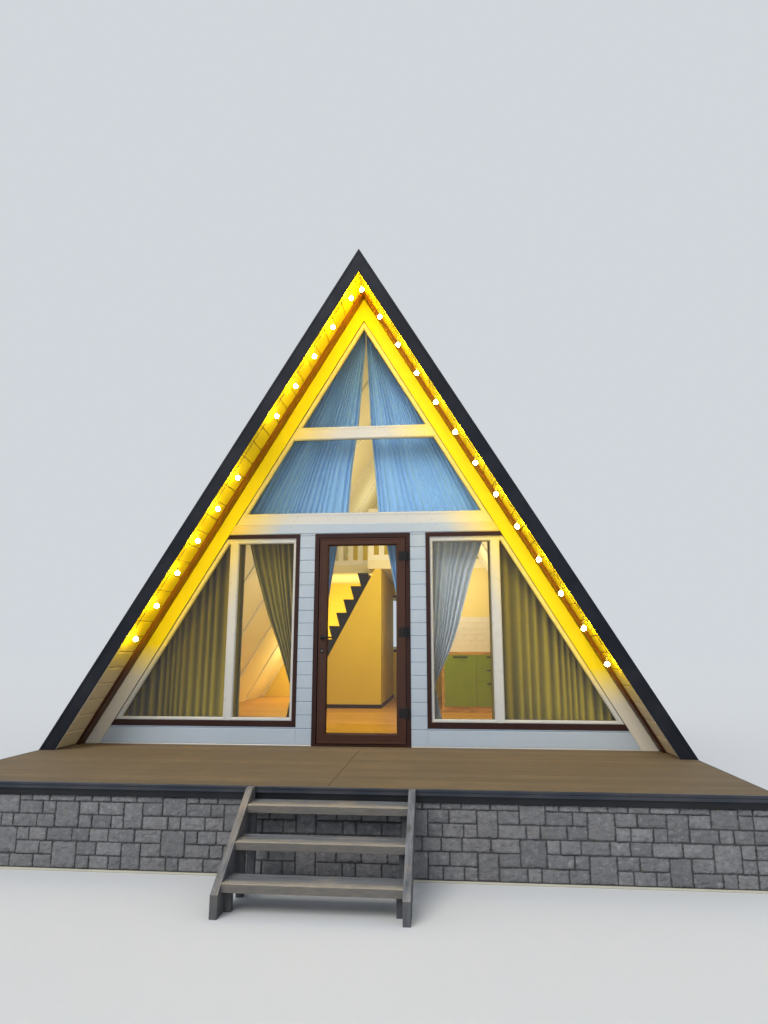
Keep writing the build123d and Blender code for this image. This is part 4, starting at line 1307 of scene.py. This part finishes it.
pin_boxes = solid_boxes("hinge_pins")
knuckle_boxes = solid_boxes("door_hinges")
joint = frame["joints"][0]
axis_x, axis_y = joint["pos_m"][0], joint["pos_m"][1] - FRONT
leaf_plates, frame_plates, leaf_fixings, frame_fixings = [], [], [], []
for low, high in pin_boxes:
    z0, z1 = low[2] - FLOOR, high[2] - FLOOR
    ends = (z0 + 0.001, z1 - 0.001)
    leaf_plates.append(rounded_outline(leaf_high.x - 0.072, leaf_high.x - 0.002, *ends, 0.006))
    frame_plates.append(rounded_outline(axis_x + 0.010, frame_high.x - 0.003, *ends, 0.005))
    for share in (0.18, 0.5, 0.82):
        z = z0 + share * (z1 - z0)
        leaf_fixings.append(at(leaf_high.x - 0.056, leaf_face - HINGE_PLATE, z))
        leaf_fixings.append(at(leaf_high.x - 0.026, leaf_face - HINGE_PLATE, z))
        frame_fixings.append(at(frame_high.x - 0.012, frame_face - HINGE_PLATE, z))
piece = front_plates("hinge_leaf_plates", leaf_plates, leaf_face, leaf_face - HINGE_PLATE, 0.001,
                     black_fitting, "door")
piece = front_plates("hinge_frame_plates", frame_plates, frame_face, frame_face - HINGE_PLATE, 0.001,
                     black_fitting, "cabin")
FRONT_SCREW = [(-0.001, 0.0044), (0.0002, 0.0044), (0.0009, 0.0036), (0.0009, 0.0018), (0.0002, 0.0014)]
turned("hinge_leaf_screws", FRONT_SCREW, leaf_fixings, black_fitting, "door", 10, (0, -1, 0))
turned("hinge_frame_screws", FRONT_SCREW, frame_fixings, black_fitting, "cabin", 10, (0, -1, 0))
cap = [(0.0, 0.0112), (0.003, 0.0112), (0.0055, 0.009), (0.0065, 0.0045)]
tops = [(axis_x, axis_y + FRONT, high[2] + 0.0002) for low, high in knuckle_boxes]
turned("hinge_caps", cap, tops, black_fitting, "door", 16)
bevel(("hinge_pins", "door_hinges"), 0.0012)
print("hinges:", len(pin_boxes))

# %% [markdown]
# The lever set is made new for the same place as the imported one: two small roses on each face, a
# turned neck, a lever that bends out of it and tapers, and the lock cylinder below with its slot.

# %% Lever handles
plate_boxes = solid_boxes("door_handles")
handle_low, handle_high = min(plate_boxes, key=lambda pair: pair[0][1])
plate_x = handle_low[0] + 0.016
plate_z0, plate_z1 = handle_low[2] - FLOOR, handle_high[2] - FLOOR
lever_z = plate_z1 - 0.045
lock_z = plate_z0 + 0.045
lever_end = handle_high[0]
reach = abs(handle_low[1] - FRONT - leaf_face) - 0.007
roses = [rounded_outline(plate_x - 0.016, plate_x + 0.016, z - 0.026, z + 0.026, 0.012, 7)
         for z in (lever_z, lock_z)]
neck = [(0.0, 0.0125), (0.004, 0.0125), (0.0055, 0.0095), (reach - 0.004, 0.0088), (reach + 0.004, 0.0085)]
barrel = [(0.0, 0.0092), (0.0058, 0.0092), (0.0072, 0.0084), (0.0078, 0.0066)]
for word, surface, way in (("outer", leaf_face, -1), ("inner", leaf_back, 1)):
    face = surface + way * 0.006
    plate = front_plates(f"handle_roses_{word}", roses, surface, face, 0.0012, black_fitting, "door")
    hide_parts("door_handles")
    turned(f"handle_neck_{word}", neck, [at(plate_x, face, lever_z)], black_fitting, "door", 20, (0, way, 0))
    turned(f"lock_cylinder_{word}", barrel, [at(plate_x, face, lock_z)], lock_metal, "door", 20, (0, way, 0))
    t = np.linspace(0, 1, 22)
    bend = 1 - np.exp(-t * 9)
    x = plate_x - 0.004 + t * (lever_end - plate_x)
    y = face + way * (reach - 0.008 + 0.008 * bend - 0.004 * t ** 3)
    path = at(x, y, lever_z + 0.0035 * np.sin(np.pi * t) - 0.002 * t)
    lever = tube_rings(path, 0.0135, 0.0195, (0, 0, 1), 4, 0.0058)
    centre = lever.mean(1, keepdims=True)
    taper = np.interp(t, [0, 0.05, 0.93, 0.98, 1.0], [0.6, 1.0, 0.86, 0.72, 0.42])[:, None, None]
    lever = centre + (lever - centre) * taper
    carried(f"lever_{word}", lever[None], black_fitting, "door", smooth=True)
    slot_face = face + way * 0.0079
    slot = rounded_outline(plate_x - 0.0011, plate_x + 0.0011, lock_z - 0.0048, lock_z + 0.0048, 0.001, 3)
    front_plates(f"key_slot_{word}", [slot], slot_face - way * 0.0006, slot_face + way * 0.0002, 0.0001,
                 sealing, "door")
print("lever length:", round(lever_end - plate_x, 3), "m")

# %% [markdown]
# A string of round bulbs hangs under the front edge of the roof. The cable runs straight down each
# slope from a small bend at the apex, each socket is a turned tube with ribs, and the bulbs are turned
# in one line from neck to crown. They glow, so they light the soffit beside them, and the warm pool
# round them on the boards is painted bulb light as well.

# %% String of bulbs
BULB_RADIUS = 0.023
CABLE_TAIL = 0.150
CABLE_BEND = 0.017
centres = np.array([[(low[0] + high[0]) / 2, (low[1] + high[1]) / 2, low[2] + BULB_RADIUS]
                    for low, high in bulb_boxes])


def bulb_material():
    """Warm lit bulb: a bright skin whose light is a little stronger than a lamp's shade."""
    material, tree = start_material("lit warm bulb")
    end_plain(tree, Base_Color=colour((1.0, 0.86, 0.52)), Roughness=0.2,
              Emission_Color=colour((1.0, 0.78, 0.30)), Emission_Strength=84.0)
    return material


def cable_material():
    """Black rubber cable."""
    material, tree = start_material("black rubber")
    fine = noise(tree, object_pattern(tree), 300.0, 3)
    base = blend_colour(tree, fine, colour((0.018, 0.018, 0.018)), colour((0.035, 0.034, 0.033)))
    end_plain(tree, Base_Color=base, Roughness=0.62, Normal=relief(tree, fine, 0.0003))
    return material


glowing = bulb_material()
rubber_black = cable_material()
socket_amber = plain_plastic("pale socket plastic", (0.62, 0.46, 0.10), 0.4, 0.0)
turn = np.linspace(-0.49 * np.pi, 0.40 * np.pi, 12)
globe = np.stack([BULB_RADIUS * np.sin(turn), BULB_RADIUS * np.cos(turn)], -1)
neck_line = np.array([(0.0235, 0.0068), (0.030, 0.0066)])
bulbs = turned("round_bulbs", np.concatenate([globe, neck_line]), centres, glowing, sides=18)
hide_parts("light_bulbs")
socket = [
    (0.0210, 0.0080), (0.0225, 0.0094), (0.033, 0.0094), (0.034, 0.0084), (0.038, 0.0084),
    (0.039, 0.0094), (0.050, 0.0090), (0.056, 0.0060), (0.062, 0.0020), (0.126, 0.0018),
]
sockets = turned("bulb_sockets", socket, centres, socket_amber, sides=16)
for piece in (bulbs, sockets):
    piece.visible_glossy = False
    piece.visible_transmission = False
sockets.visible_shadow = False
CABLE_DEPTH = SOFFIT_DEPTH + 0.008


def cable_rings(side):
    """Cable down one slope. Near the apex it bends: a hyperbola whose arms are the two straight slopes."""
    last = max(abs(centre[0]) for centre in centres if centre[0] * side > 0) + CABLE_TAIL * SIN
    x = last * np.linspace(0, 1, 60) ** 2
    z = RISE - CABLE_DEPTH / SIN - np.sqrt(x ** 2 + CABLE_BEND ** 2) * RISE / HALF
    return tube_rings(at(side * x, centres[0, 1] - FRONT, z), 0.005, 0.005, (0, 1, 0), 3)


for side, word in ((1, "right"), (-1, "left")):
    cable = carried(f"bulb_cable_{word}", cable_rings(side)[None], rubber_black, smooth=True)
    cable.visible_shadow = False
    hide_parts("light_cable")
print("bulbs:", len(centres))

# %% [markdown]
# The rooms show only through glass and curtains, so they get plain but whole finishes: yellow paint on
# the partition, partly painted lamp light, a black stair, a white loft, and a wooden worktop over green
# kitchen fronts. One list gives its material to each imported piece that still shows and has none yet.


# %% Indoor finishes
def wall_paint(name, rgb, rough=0.75, outer=None, middle=0.0):
    """Matt rolled paint with soft marks; an outer wall has its outside colour beyond its middle."""
    material, tree = start_material(name)
    space = object_pattern(tree)
    marks = spread(tree, noise(tree, space, 1.9, 6), 0.4, 0.8, 0.0, 0.3)
    clean = colour(rgb)
    if outer is not None:
        depth = put(tree, "SeparateXYZ", {"Vector": space}).node.outputs["Y"]
        beyond = maths(tree, "GREATER_THAN", depth, middle)
        clean = blend_colour(tree, beyond, clean, colour(outer))
    base = blend_colour(tree, marks, clean, multiplied(tree, clean, (0.86, 0.86, 0.86)))
    roller = relief(tree, noise(tree, space, 210.0, 4, 0.7), 0.0006, 0.5)
    end_plain(tree, Base_Color=base, Roughness=rough, Normal=roller)
    return material


def indoor_wood(name, rgb, stretch):
    """Oiled wood: rings stretched along the grain, with fine pores."""
    material, tree = start_material(name)
    rings = noise(tree, object_pattern(tree, stretch), 2.2, 8, 0.6, 1.2)
    pores = noise(tree, object_pattern(tree, tuple(6 * s for s in stretch)), 6.0, 5)
    dark = tuple(c * 0.5 for c in rgb)
    base = layer(tree, colour(rgb), dark, rings, 0.35, 0.7, 0, 0.9)
    base = layer(tree, base, dark, pores, 0.6, 0.75, 0, 0.5)
    shine = spread(tree, rings, 0.3, 0.7, 0.38, 0.5)
    end_plain(tree, Base_Color=base, Roughness=shine, Normal=relief(tree, pores, 0.0004))
    return material


# The yellow of the inner walls is partly their paint and partly painted lamp light.
paint_with_painted_lamp_light = wall_paint("wall paint with painted lamp light", (0.86, 0.66, 0.07))
kitchen_paint_with_lamp_light = wall_paint("kitchen paint with painted lamp light", (0.80, 0.68, 0.30))
green_front = wall_paint("green kitchen front", (0.270, 0.370, 0.004), 0.42)
wall_middle = (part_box("back_wall")[0].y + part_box("back_wall")[1].y) / 2
# The back wall's room side takes the same yellow with painted lamp light; its outer side takes the facade
# boards' blue-grey, which is painted dusk shade.
back_paint = wall_paint("back wall paint", (0.86, 0.66, 0.07), outer=(0.53, 0.62, 0.72), middle=wall_middle)
tile_glaze = plain_plastic("pale wall tile", (0.80, 0.78, 0.72), 0.14, 0.6)
black_stair = coated_metal("black stair boards", (0.012, 0.011, 0.011), 0.34, (0.05, 0.045, 0.04), 0.3)
worktop_wood = indoor_wood("kitchen worktop wood", (0.82, 0.46, 0.09), (1.2, 9, 9))
joist_wood = indoor_wood("structural timber", (0.55, 0.40, 0.22), (9, 1.2, 9))
rail_paint = coated_metal("white curtain rail", (0.80, 0.80, 0.78), 0.35, (0.6, 0.58, 0.55), 0.3)

finish = {
    "platform_rim": rim_black, "deck_joists": joist_wood, "house_floor": floor_laminate,
    "roofing_left": charcoal, "roofing_right": charcoal, "roof_left": joist_wood, "roof_right": joist_wood,
    "barge_boards": charcoal, "ridge_cap": charcoal, "front_piers": white_boards, "front_band": white_boards,
    "front_sills": white_boards, "front_rake_left": rake_cream, "front_rake_right": rake_cream,
    "rake_trims": rake_brown, "gable_window_frame": frame_white, "side_window_frames": frame_white,
    "back_window_frames": frame_white, "window_casings": brown_coat, "gable_glass": window_clear,
    "window_glass": window_clear, "back_wall": back_paint, "door_frame": brown_coat, "door_leaf": door_coat,
    "door_glass": window_clear, "hinge_pins": black_fitting, "door_hinges": black_fitting,
    "partition": paint_with_painted_lamp_light, "stair": black_stair, "loft_floor": ceiling_white, "loft_railing": railing_white,
    "kitchen_wall": kitchen_paint_with_lamp_light, "kitchen_units": worktop_wood, "curtain_rails": rail_paint,
}
for name, material in finish.items():
    refinish((name,), material)
bevel(("rake_trims", "window_casings", "door_frame", "gable_window_frame", "side_window_frames"), 0.003)
bevel(("door_leaf", "back_window_frames", "loft_railing", "stair", "kitchen_units"), 0.002)
print("packed pieces with a finish:", len(finish))

# %% [markdown]
# The kitchen fronts are separate plates over the carcass, 6 mm apart, with a bar handle each. The
# tiles above are small glazed plates laid half a tile apart from row to row.

# %% Kitchen fronts, handles and tiles
units_low, units_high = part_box("kitchen_units")
carcass_front = units_low.y + 0.020 - FRONT
carcass_left = units_low.x + 0.020
carcass_top = units_high.z - FLOOR - 0.040
end_panel = carcass_left + 0.040
middle_split = carcass_left + 0.536
units_end = carcass_left + 1.080
fronts, handles = [], []
for x0, x1, splits in ((end_panel, middle_split, (0.085, carcass_top - 0.002)),
                       (middle_split, units_end, (0.085, 0.462, 0.665, carcass_top - 0.002))):
    for z0, z1 in zip(splits[:-1], splits[1:]):
        fronts.append(rectangle(x0 + 0.003, x1 - 0.003, z0 + 0.003, z1 - 0.003))
        handles.append(((x0 + x1) / 2, z1 - 0.035))
piece = front_plates("kitchen_fronts", fronts, carcass_front, carcass_front - 0.018, 0.0015, green_front,
                     "cabin")
bars = []
for x, z in handles:
    t = np.linspace(-1, 1, 15)
    out = 0.028 * (1 - np.abs(t) ** 12)
    bars.append(tube_rings(at(x + 0.108 * t, carcass_front - 0.018 - out, z), 0.009, 0.018, (0, 0, 1), 3))
carried("kitchen_handles", np.array(bars), black_fitting, smooth=True)

TILE_WIDE, TILE_HIGH, TILE_JOINT = 0.19, 0.095, 0.003
wall_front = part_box("kitchen_wall")[0].y - FRONT
wall_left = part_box("kitchen_wall")[0].x
tiles = []
for row in range(6):
    z0 = units_high.z - FLOOR + 0.001 + row * TILE_HIGH
    z1 = z0 + TILE_HIGH - TILE_JOINT
    limit = min(slope_x(z1, SOFFIT_DEPTH) - 0.004, units_high.x)
    starts = wall_left + 0.002 + np.arange(-1, 7) * TILE_WIDE + (row % 2) * TILE_WIDE / 2
    for x0 in starts:
        left, right = max(x0, wall_left + 0.002), min(x0 + TILE_WIDE - TILE_JOINT, limit)
        if right - left > 0.03:
            tiles.append(rectangle(left, right, z0, z1))
front_plates("kitchen_tiles", tiles, wall_front, wall_front - 0.007, 0.0012, tile_glaze, "cabin")
print("kitchen fronts:", len(fronts), "tiles:", len(tiles))

# %% [markdown]
# A brown skirting runs along the foot of the partition's front and round its right corner. It is one
# small profile, carried along each face in turn.

# %% Skirting
part_low, part_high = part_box("partition")
skirt = np.array([(0.0003, 0.0), (0.012, 0.0), (0.012, 0.050), (0.009, 0.058), (0.004, 0.060),
                  (0.0003, 0.060)])
part_face = part_low.y - FRONT
front_run = [at(x, part_face - skirt[:, 0], skirt[:, 1]) for x in (part_low.x + 0.06, part_high.x + 0.012)]
side_run = [at(part_high.x + skirt[:, 0], y, skirt[:, 1]) for y in (part_face - 0.012, LENGTH - 0.152)]
skirting = carried("skirting", np.array([front_run, side_run]), brown_coat)
print("skirting length:", round(part_high.x - part_low.x + part_high.y - part_low.y, 2), "m")

# %% [markdown]
# Curtains are single sheets whose folds are waves in plan. Where a curtain hangs free, its folds are
# upright and the sheet is cut to the slope above. Where it is tied back, it has the same width of
# cloth at every height, so the folds grow deeper as they are drawn together.


# %% Folding the cloth
def flat_crossings(tris, values, axis):
    """Lowest and highest crossing of a flat outline with lines of constant x (axis 0) or z (axis 1)."""
    level = np.abs(tris[..., 1] - tris[..., 1].min()) < 1e-5
    front = tris[level.all(1)][..., [0, 2]]
    p, q = front.reshape(-1, 2), np.roll(front, -1, 1).reshape(-1, 2)
    step = q[:, axis] - p[:, axis]
    safe = np.where(np.abs(step) < 1e-7, 1e-7, step)
    t = (values[:, None] - p[:, axis]) / safe
    hit = p[:, 1 - axis] + t * (q[:, 1 - axis] - p[:, 1 - axis])
    ok = (t > -1e-6) & (t < 1 + 1e-6) & (np.abs(step) > 1e-6)
    return np.where(ok, hit, np.inf).min(1), np.where(ok, hit, -np.inf).max(1)


def solid_triangles(name):
    """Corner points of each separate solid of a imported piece, as arrays of triangles."""
    mesh = nodes[name].data
    tris = mesh_points(mesh)[mesh_triangles(mesh)]
    found = []
    for low, high in solid_boxes(name):
        inside = (tris.min(1) > low - 1e-4).all(1) & (tris.max(1) < high + 1e-4).all(1)
        found.append(tris[inside])
    return found


def fold_wave(phase, count, wander):
    """Folds of uneven size: a wave whose phase drifts, with a smaller second wave that sharpens some."""
    drift = wander * np.sin(2 * np.pi * phase * 1.7 + 0.6) + 0.5 * wander * np.sin(2 * np.pi * phase * 3.9)
    angle = 2 * np.pi * (phase * count + drift)
    swell = 0.80 + 0.20 * np.sin(2 * np.pi * phase * count * 0.137 + 2.0)
    return swell * (0.86 * np.sin(angle) + 0.14 * np.sin(2 * angle + 1.1))


def cloth_piece(name, points, material):
    """A sheet from a grid of points, with its folds' depth as the tone attribute, which sets its painted
    shade.
    """
    rows, cols = points.shape[:2]
    cell = np.arange(rows * cols).reshape(rows, cols)
    faces = np.stack([cell[:-1, :-1], cell[:-1, 1:], cell[1:, 1:], cell[1:, :-1]], -1).reshape(-1, 4).tolist()
    depth = points[..., 1] - points[..., 1].min()
    tone = (depth / max(depth.max(), 1e-6)).ravel()
    return new_piece(name, points, faces, material, smooth=True, tone=tone, closed=False)


def hanging_sheet(name, tris, fold, deep, material, rows=40):
    """Upright folds: each column runs from the outline's lower edge to its upper edge at the same x."""
    x_low, x_high = tris[..., 0].min() + 0.0015, tris[..., 0].max() - 0.0015
    middle_y = (tris[..., 1].min() + tris[..., 1].max()) / 2 - FRONT
    count = (x_high - x_low) / fold
    x = np.linspace(x_low, x_high, int(count * 9) + 2)
    z_low, z_high = flat_crossings(tris, x, 0)
    v = np.linspace(0, 1, rows)[:, None]
    z = z_low + (z_high - z_low) * v - FLOOR
    wave = fold_wave((x - x_low) / (x_high - x_low), count, 0.45)
    settle = 0.82 + 0.18 * np.sin(3.1 * v + 9 * x)
    sway = 0.004 * np.sin(2.3 * z + 5 * x)
    y = middle_y + np.clip(deep * wave * settle + sway * (1 - v), -0.028, 0.028)
    points = at(x + 0.15 * deep * np.cos(2 * np.pi * x / fold) * (1 - v) * np.minimum(1, v * 6), y, z)
    stretch = np.hypot(np.diff(x), np.diff(deep * wave)).sum()
    piece = cloth_piece(name, points, material)
    drop = (z_high - z_low).max()
    return piece, stretch, drop


def tied_sheet(name, tris, count, full, material, rows=64, wander=0.22):
    """Gathered folds: as much cloth at each height, so the wave deepens where the outline narrows."""
    z_low, z_high = tris[..., 2].min() + 0.001, tris[..., 2].max() - 0.001
    z = np.linspace(z_low, z_high, rows)
    left, right = flat_crossings(tris, z, 1)
    smooth = np.array([0.25, 0.5, 0.25])
    for _ in range(3):
        left[1:-1] = np.convolve(left, smooth, "valid")
        right[1:-1] = np.convolve(right, smooth, "valid")
    width = right - left
    cloth = width.max() * full
    u = np.linspace(0, 1, int(count * 10) + 2)
    wave = fold_wave(u, count, wander)
    depths = np.linspace(0, 0.0285, 60)
    trial = np.hypot(np.diff(u) * width[:, None, None], np.diff(wave) * depths[:, None]).sum(-1)
    deep = np.array([np.interp(cloth, row, depths) for row in trial])
    middle_y = (tris[..., 1].min() + tris[..., 1].max()) / 2 - FRONT
    x = left[:, None] + u * width[:, None]
    points = at(x, middle_y + deep[:, None] * wave, z[:, None] - FLOOR)
    piece = cloth_piece(name, points, material)
    drop = z_high - z_low
    return piece, cloth, drop


print("cloth helpers ready")

# %% [markdown]
# Eight sheets hang here: two sheers in the gable, an olive pair at the outer side panes, a tied pair
# beside the door, and the two sheers behind the door's glass. Each follows the outline of its packed
# panel. A flat band holds each tied curtain and each door sheer together.

# %% Curtains
sizes = []
for tris in solid_triangles("gable_curtains"):
    word = "right" if tris[..., 0].mean() > 0 else "left"
    piece, wide, drop = tied_sheet(f"gable_sheer_{word}", tris, 22, 1.22, sheer_with_painted_sky_blue, wander=0.55)
    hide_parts("gable_curtains")
    sizes.append((piece.name, wide, drop))


curtain_low, curtain_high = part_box("door_curtains")
curtain_middle = (curtain_low.y + curtain_high.y) / 2 - FRONT


def tie_band(name, x0, x1, z, material):
    """A flat band round a gathered curtain: an oval in plan, 32 mm high, a little lower at the glass."""
    turn = np.linspace(0, 2 * np.pi, 25)[:-1]
    cx = (x0 + x1) / 2
    x = cx + (x1 - x0) / 2 * np.sign(np.cos(turn)) * np.abs(np.cos(turn)) ** 0.7
    y = curtain_middle + 0.0265 * np.sign(np.sin(turn)) * np.abs(np.sin(turn)) ** 0.7
    section = np.array([(0.0, -0.016), (0.0022, -0.016), (0.0022, 0.016), (0.0, 0.016)])
    grow = 1 + section[None, :, 0] / 0.03
    rings = at(cx + (x[:, None] - cx) * grow, curtain_middle + (y[:, None] - curtain_middle) * grow,
               z + section[None, :, 1] + 0.006 * np.sin(turn)[:, None])
    return carried(name, rings[None], material, looped=True)


for tris in solid_triangles("side_curtains"):
    side = 1 if tris[..., 0].mean() > 0 else -1
    word = "right" if side > 0 else "left"
    reach = np.abs(tris[..., 0]).max()
    if reach > 2.0:
        piece, wide, drop = hanging_sheet(f"olive_curtain_{word}", tris, 0.080, 0.025, olive_cloth)
    else:
        # The right tied curtain takes the painted sky reflection.
        cloth = olive_cloth if side < 0 else cloth_with_painted_sky_reflection
        piece, wide, drop = tied_sheet(f"tied_curtain_{word}", tris, 9, 1.25, cloth)
        height = 0.605 if side > 0 else 0.54
        left, right = flat_crossings(tris, np.array([height + FLOOR]), 1)
        tie_band(f"tie_band_{word}", left[0] - 0.002, right[0] + 0.002, height, cloth)
    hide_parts("side_curtains")
    sizes.append((piece.name, wide, drop))
for tris in solid_triangles("door_curtains"):
    word = "right" if tris[..., 0].mean() > 0 else "left"
    piece, wide, drop = tied_sheet(f"door_sheer_{word}", tris, 6, 1.3, sheer_with_painted_sky_blue)
    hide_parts("door_curtains")
    height = 1.06 if word == "right" else 1.18
    left, right = flat_crossings(tris, np.array([height + FLOOR]), 1)
    tie_band(f"door_tie_band_{word}", left[0] - 0.002, right[0] + 0.002, height, sheer_with_painted_sky_blue)
    sizes.append((piece.name, wide, drop))
for name, wide, drop in sizes:
    print(f"{name}: flat {wide:.2f} x {drop:.2f} m")

# %% [markdown]
# The rod ends in small turned knobs, and the band above the windows is held by pairs of small nails.
# Both are turned pieces.

# %% Rod ends and nails
ROD_END = 1.580
ROD_HEIGHT = 2.190
rod_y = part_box("side_curtains")[0].y - FRONT + 0.030
knob = [(-0.006, 0.0084), (0.001, 0.0120), (0.007, 0.0140), (0.013, 0.0120), (0.017, 0.0060)]
for side, word in ((1, "right"), (-1, "left")):
    turned(f"rod_knob_{word}", knob, [at(side * ROD_END, rod_y, ROD_HEIGHT)], rail_paint, axis=(side, 0, 0))
nails = []
for side in (-1, 1):
    for z in (2.178, 2.232, 2.292, 2.345):
        for inset in (0.045, 0.62):
            nails.append(at(side * (slope_x(z, RAKE_DEPTH) - inset), -0.0078 if z < 2.26 else 0.0058, z))
nail = [(-0.0005, 0.0032), (0.0004, 0.0030), (0.0008, 0.0018)]
turned("band_nails", nail, nails, sealing, sides=8, axis=(0, -1, 0))
print("nails:", len(nails))

# %% [markdown]
# A soft sun stands high at the front left, the sky is bright and even, and warm lamps inside give the
# yellow glow behind the glass. The camera sees a plain pale backdrop, and glass and metal show it too.
# The backdrop has the colour that the pale floor takes on far away, so no horizon shows between them.
# Position and lens of the camera were solved from points of the gable in the photo.


# %% Light, backdrop and camera
def point_lamp(name, place, energy, size, rgb):
    """A round soft lamp."""
    data = bpy.data.lights.new(name, "POINT")
    data.energy = energy
    data.shadow_soft_size = size
    data.color = rgb
    lamp = add_object(name, data)
    lamp.location = place
    lamp.visible_camera = False
    lamp.visible_transmission = False
    lamp.visible_glossy = False


WARM = (1.0, 0.84, 0.48)
point_lamp("front_room_lamp", at(0.0, 2.6, 2.75), 46, 0.30, WARM)
point_lamp("low_room_lamp", at(-0.2, 2.3, 1.75), 26, 0.14, WARM)
point_lamp("kitchen_lamp", at(1.05, 3.6, 1.95), 19, 0.10, (1.0, 0.84, 0.55))
point_lamp("stair_lamp", at(-0.9, 5.9, 1.5), 38, 0.12, (1.0, 0.80, 0.34))
point_lamp("left_room_lamp", at(-1.75, 6.1, 0.95), 17, 0.12, (1.0, 0.90, 0.45))
point_lamp("loft_lamp", at(0.0, 5.6, 3.55), 14, 0.12, (1.0, 0.88, 0.62))
sun_data = bpy.data.lights.new("sun", "SUN")
sun_data.energy = 1.5
sun_data.angle = math.radians(35)
sun_data.color = (1.0, 0.97, 0.93)
sun = add_object("sun", sun_data)
sun.rotation_euler = (math.radians(46), 0, math.radians(-28))

world = bpy.data.worlds.new("even sky")
bpy.context.scene.world = world
world.use_nodes = True
world.node_tree.nodes.clear()
sky_tree = world.node_tree
path = sky_tree.nodes.new("ShaderNodeLightPath")
shown = maths(sky_tree, "MAXIMUM", path.outputs["Is Camera Ray"], path.outputs["Is Glossy Ray"])
shown = maths(sky_tree, "MAXIMUM", shown, path.outputs["Is Transmission Ray"])
even = put(sky_tree, "Background", {"Color": colour((0.80, 0.88, 1.0)), "Strength": 0.62})
backdrop = put(sky_tree, "Background", {"Color": colour((0.64, 0.675, 0.715)), "Strength": 1.0})
out = sky_tree.nodes.new("ShaderNodeOutputWorld")
sky_tree.links.new(put(sky_tree, "MixShader", {"Fac": shown, 1: even, 2: backdrop}), out.inputs["Surface"])


def ground_material():
    """Even pale floor."""
    material, tree = start_material("pale floor")
    end_plain(tree, Base_Color=colour((0.78, 0.78, 0.77)), Roughness=1.0, Specular_IOR_Level=0.0)
    return material


ground_mesh = bpy.data.meshes.new("pale_floor")
SPAN = 90.0
floor_corners = [(x, y, 0) for x, y in rectangle(-SPAN, SPAN, -SPAN, SPAN)]
ground_mesh.from_pydata(floor_corners, [], [(0, 1, 2, 3)])
ground_mesh.materials.append(ground_material())
ground = add_object("pale_floor", ground_mesh)
ground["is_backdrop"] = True

camera_data = bpy.data.cameras.new("camera")
camera_data.lens = 23.553
camera_data.sensor_width = 36.0
camera_data.clip_end = 200.0
camera = add_object("camera", camera_data)
camera.location = (0.8740, -9.4199, 1.5490)
camera.rotation_euler = (math.radians(90 + 11.5898), math.radians(-0.0498), math.radians(5.3003))
bpy.context.scene.camera = camera
bpy.context.scene.view_settings.view_transform = "Standard"
bpy.context.scene.cycles.max_bounces = 14
bpy.context.scene.cycles.transmission_bounces = 10
bpy.context.scene.cycles.transparent_max_bounces = 16

# %% Check the size
shown_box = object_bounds()
for word, first, second in zip(("low", "high"), cad_box, shown_box):
    print(word, "difference in mm:", [round(1000 * (b - a), 1) for a, b in zip(first, second)])
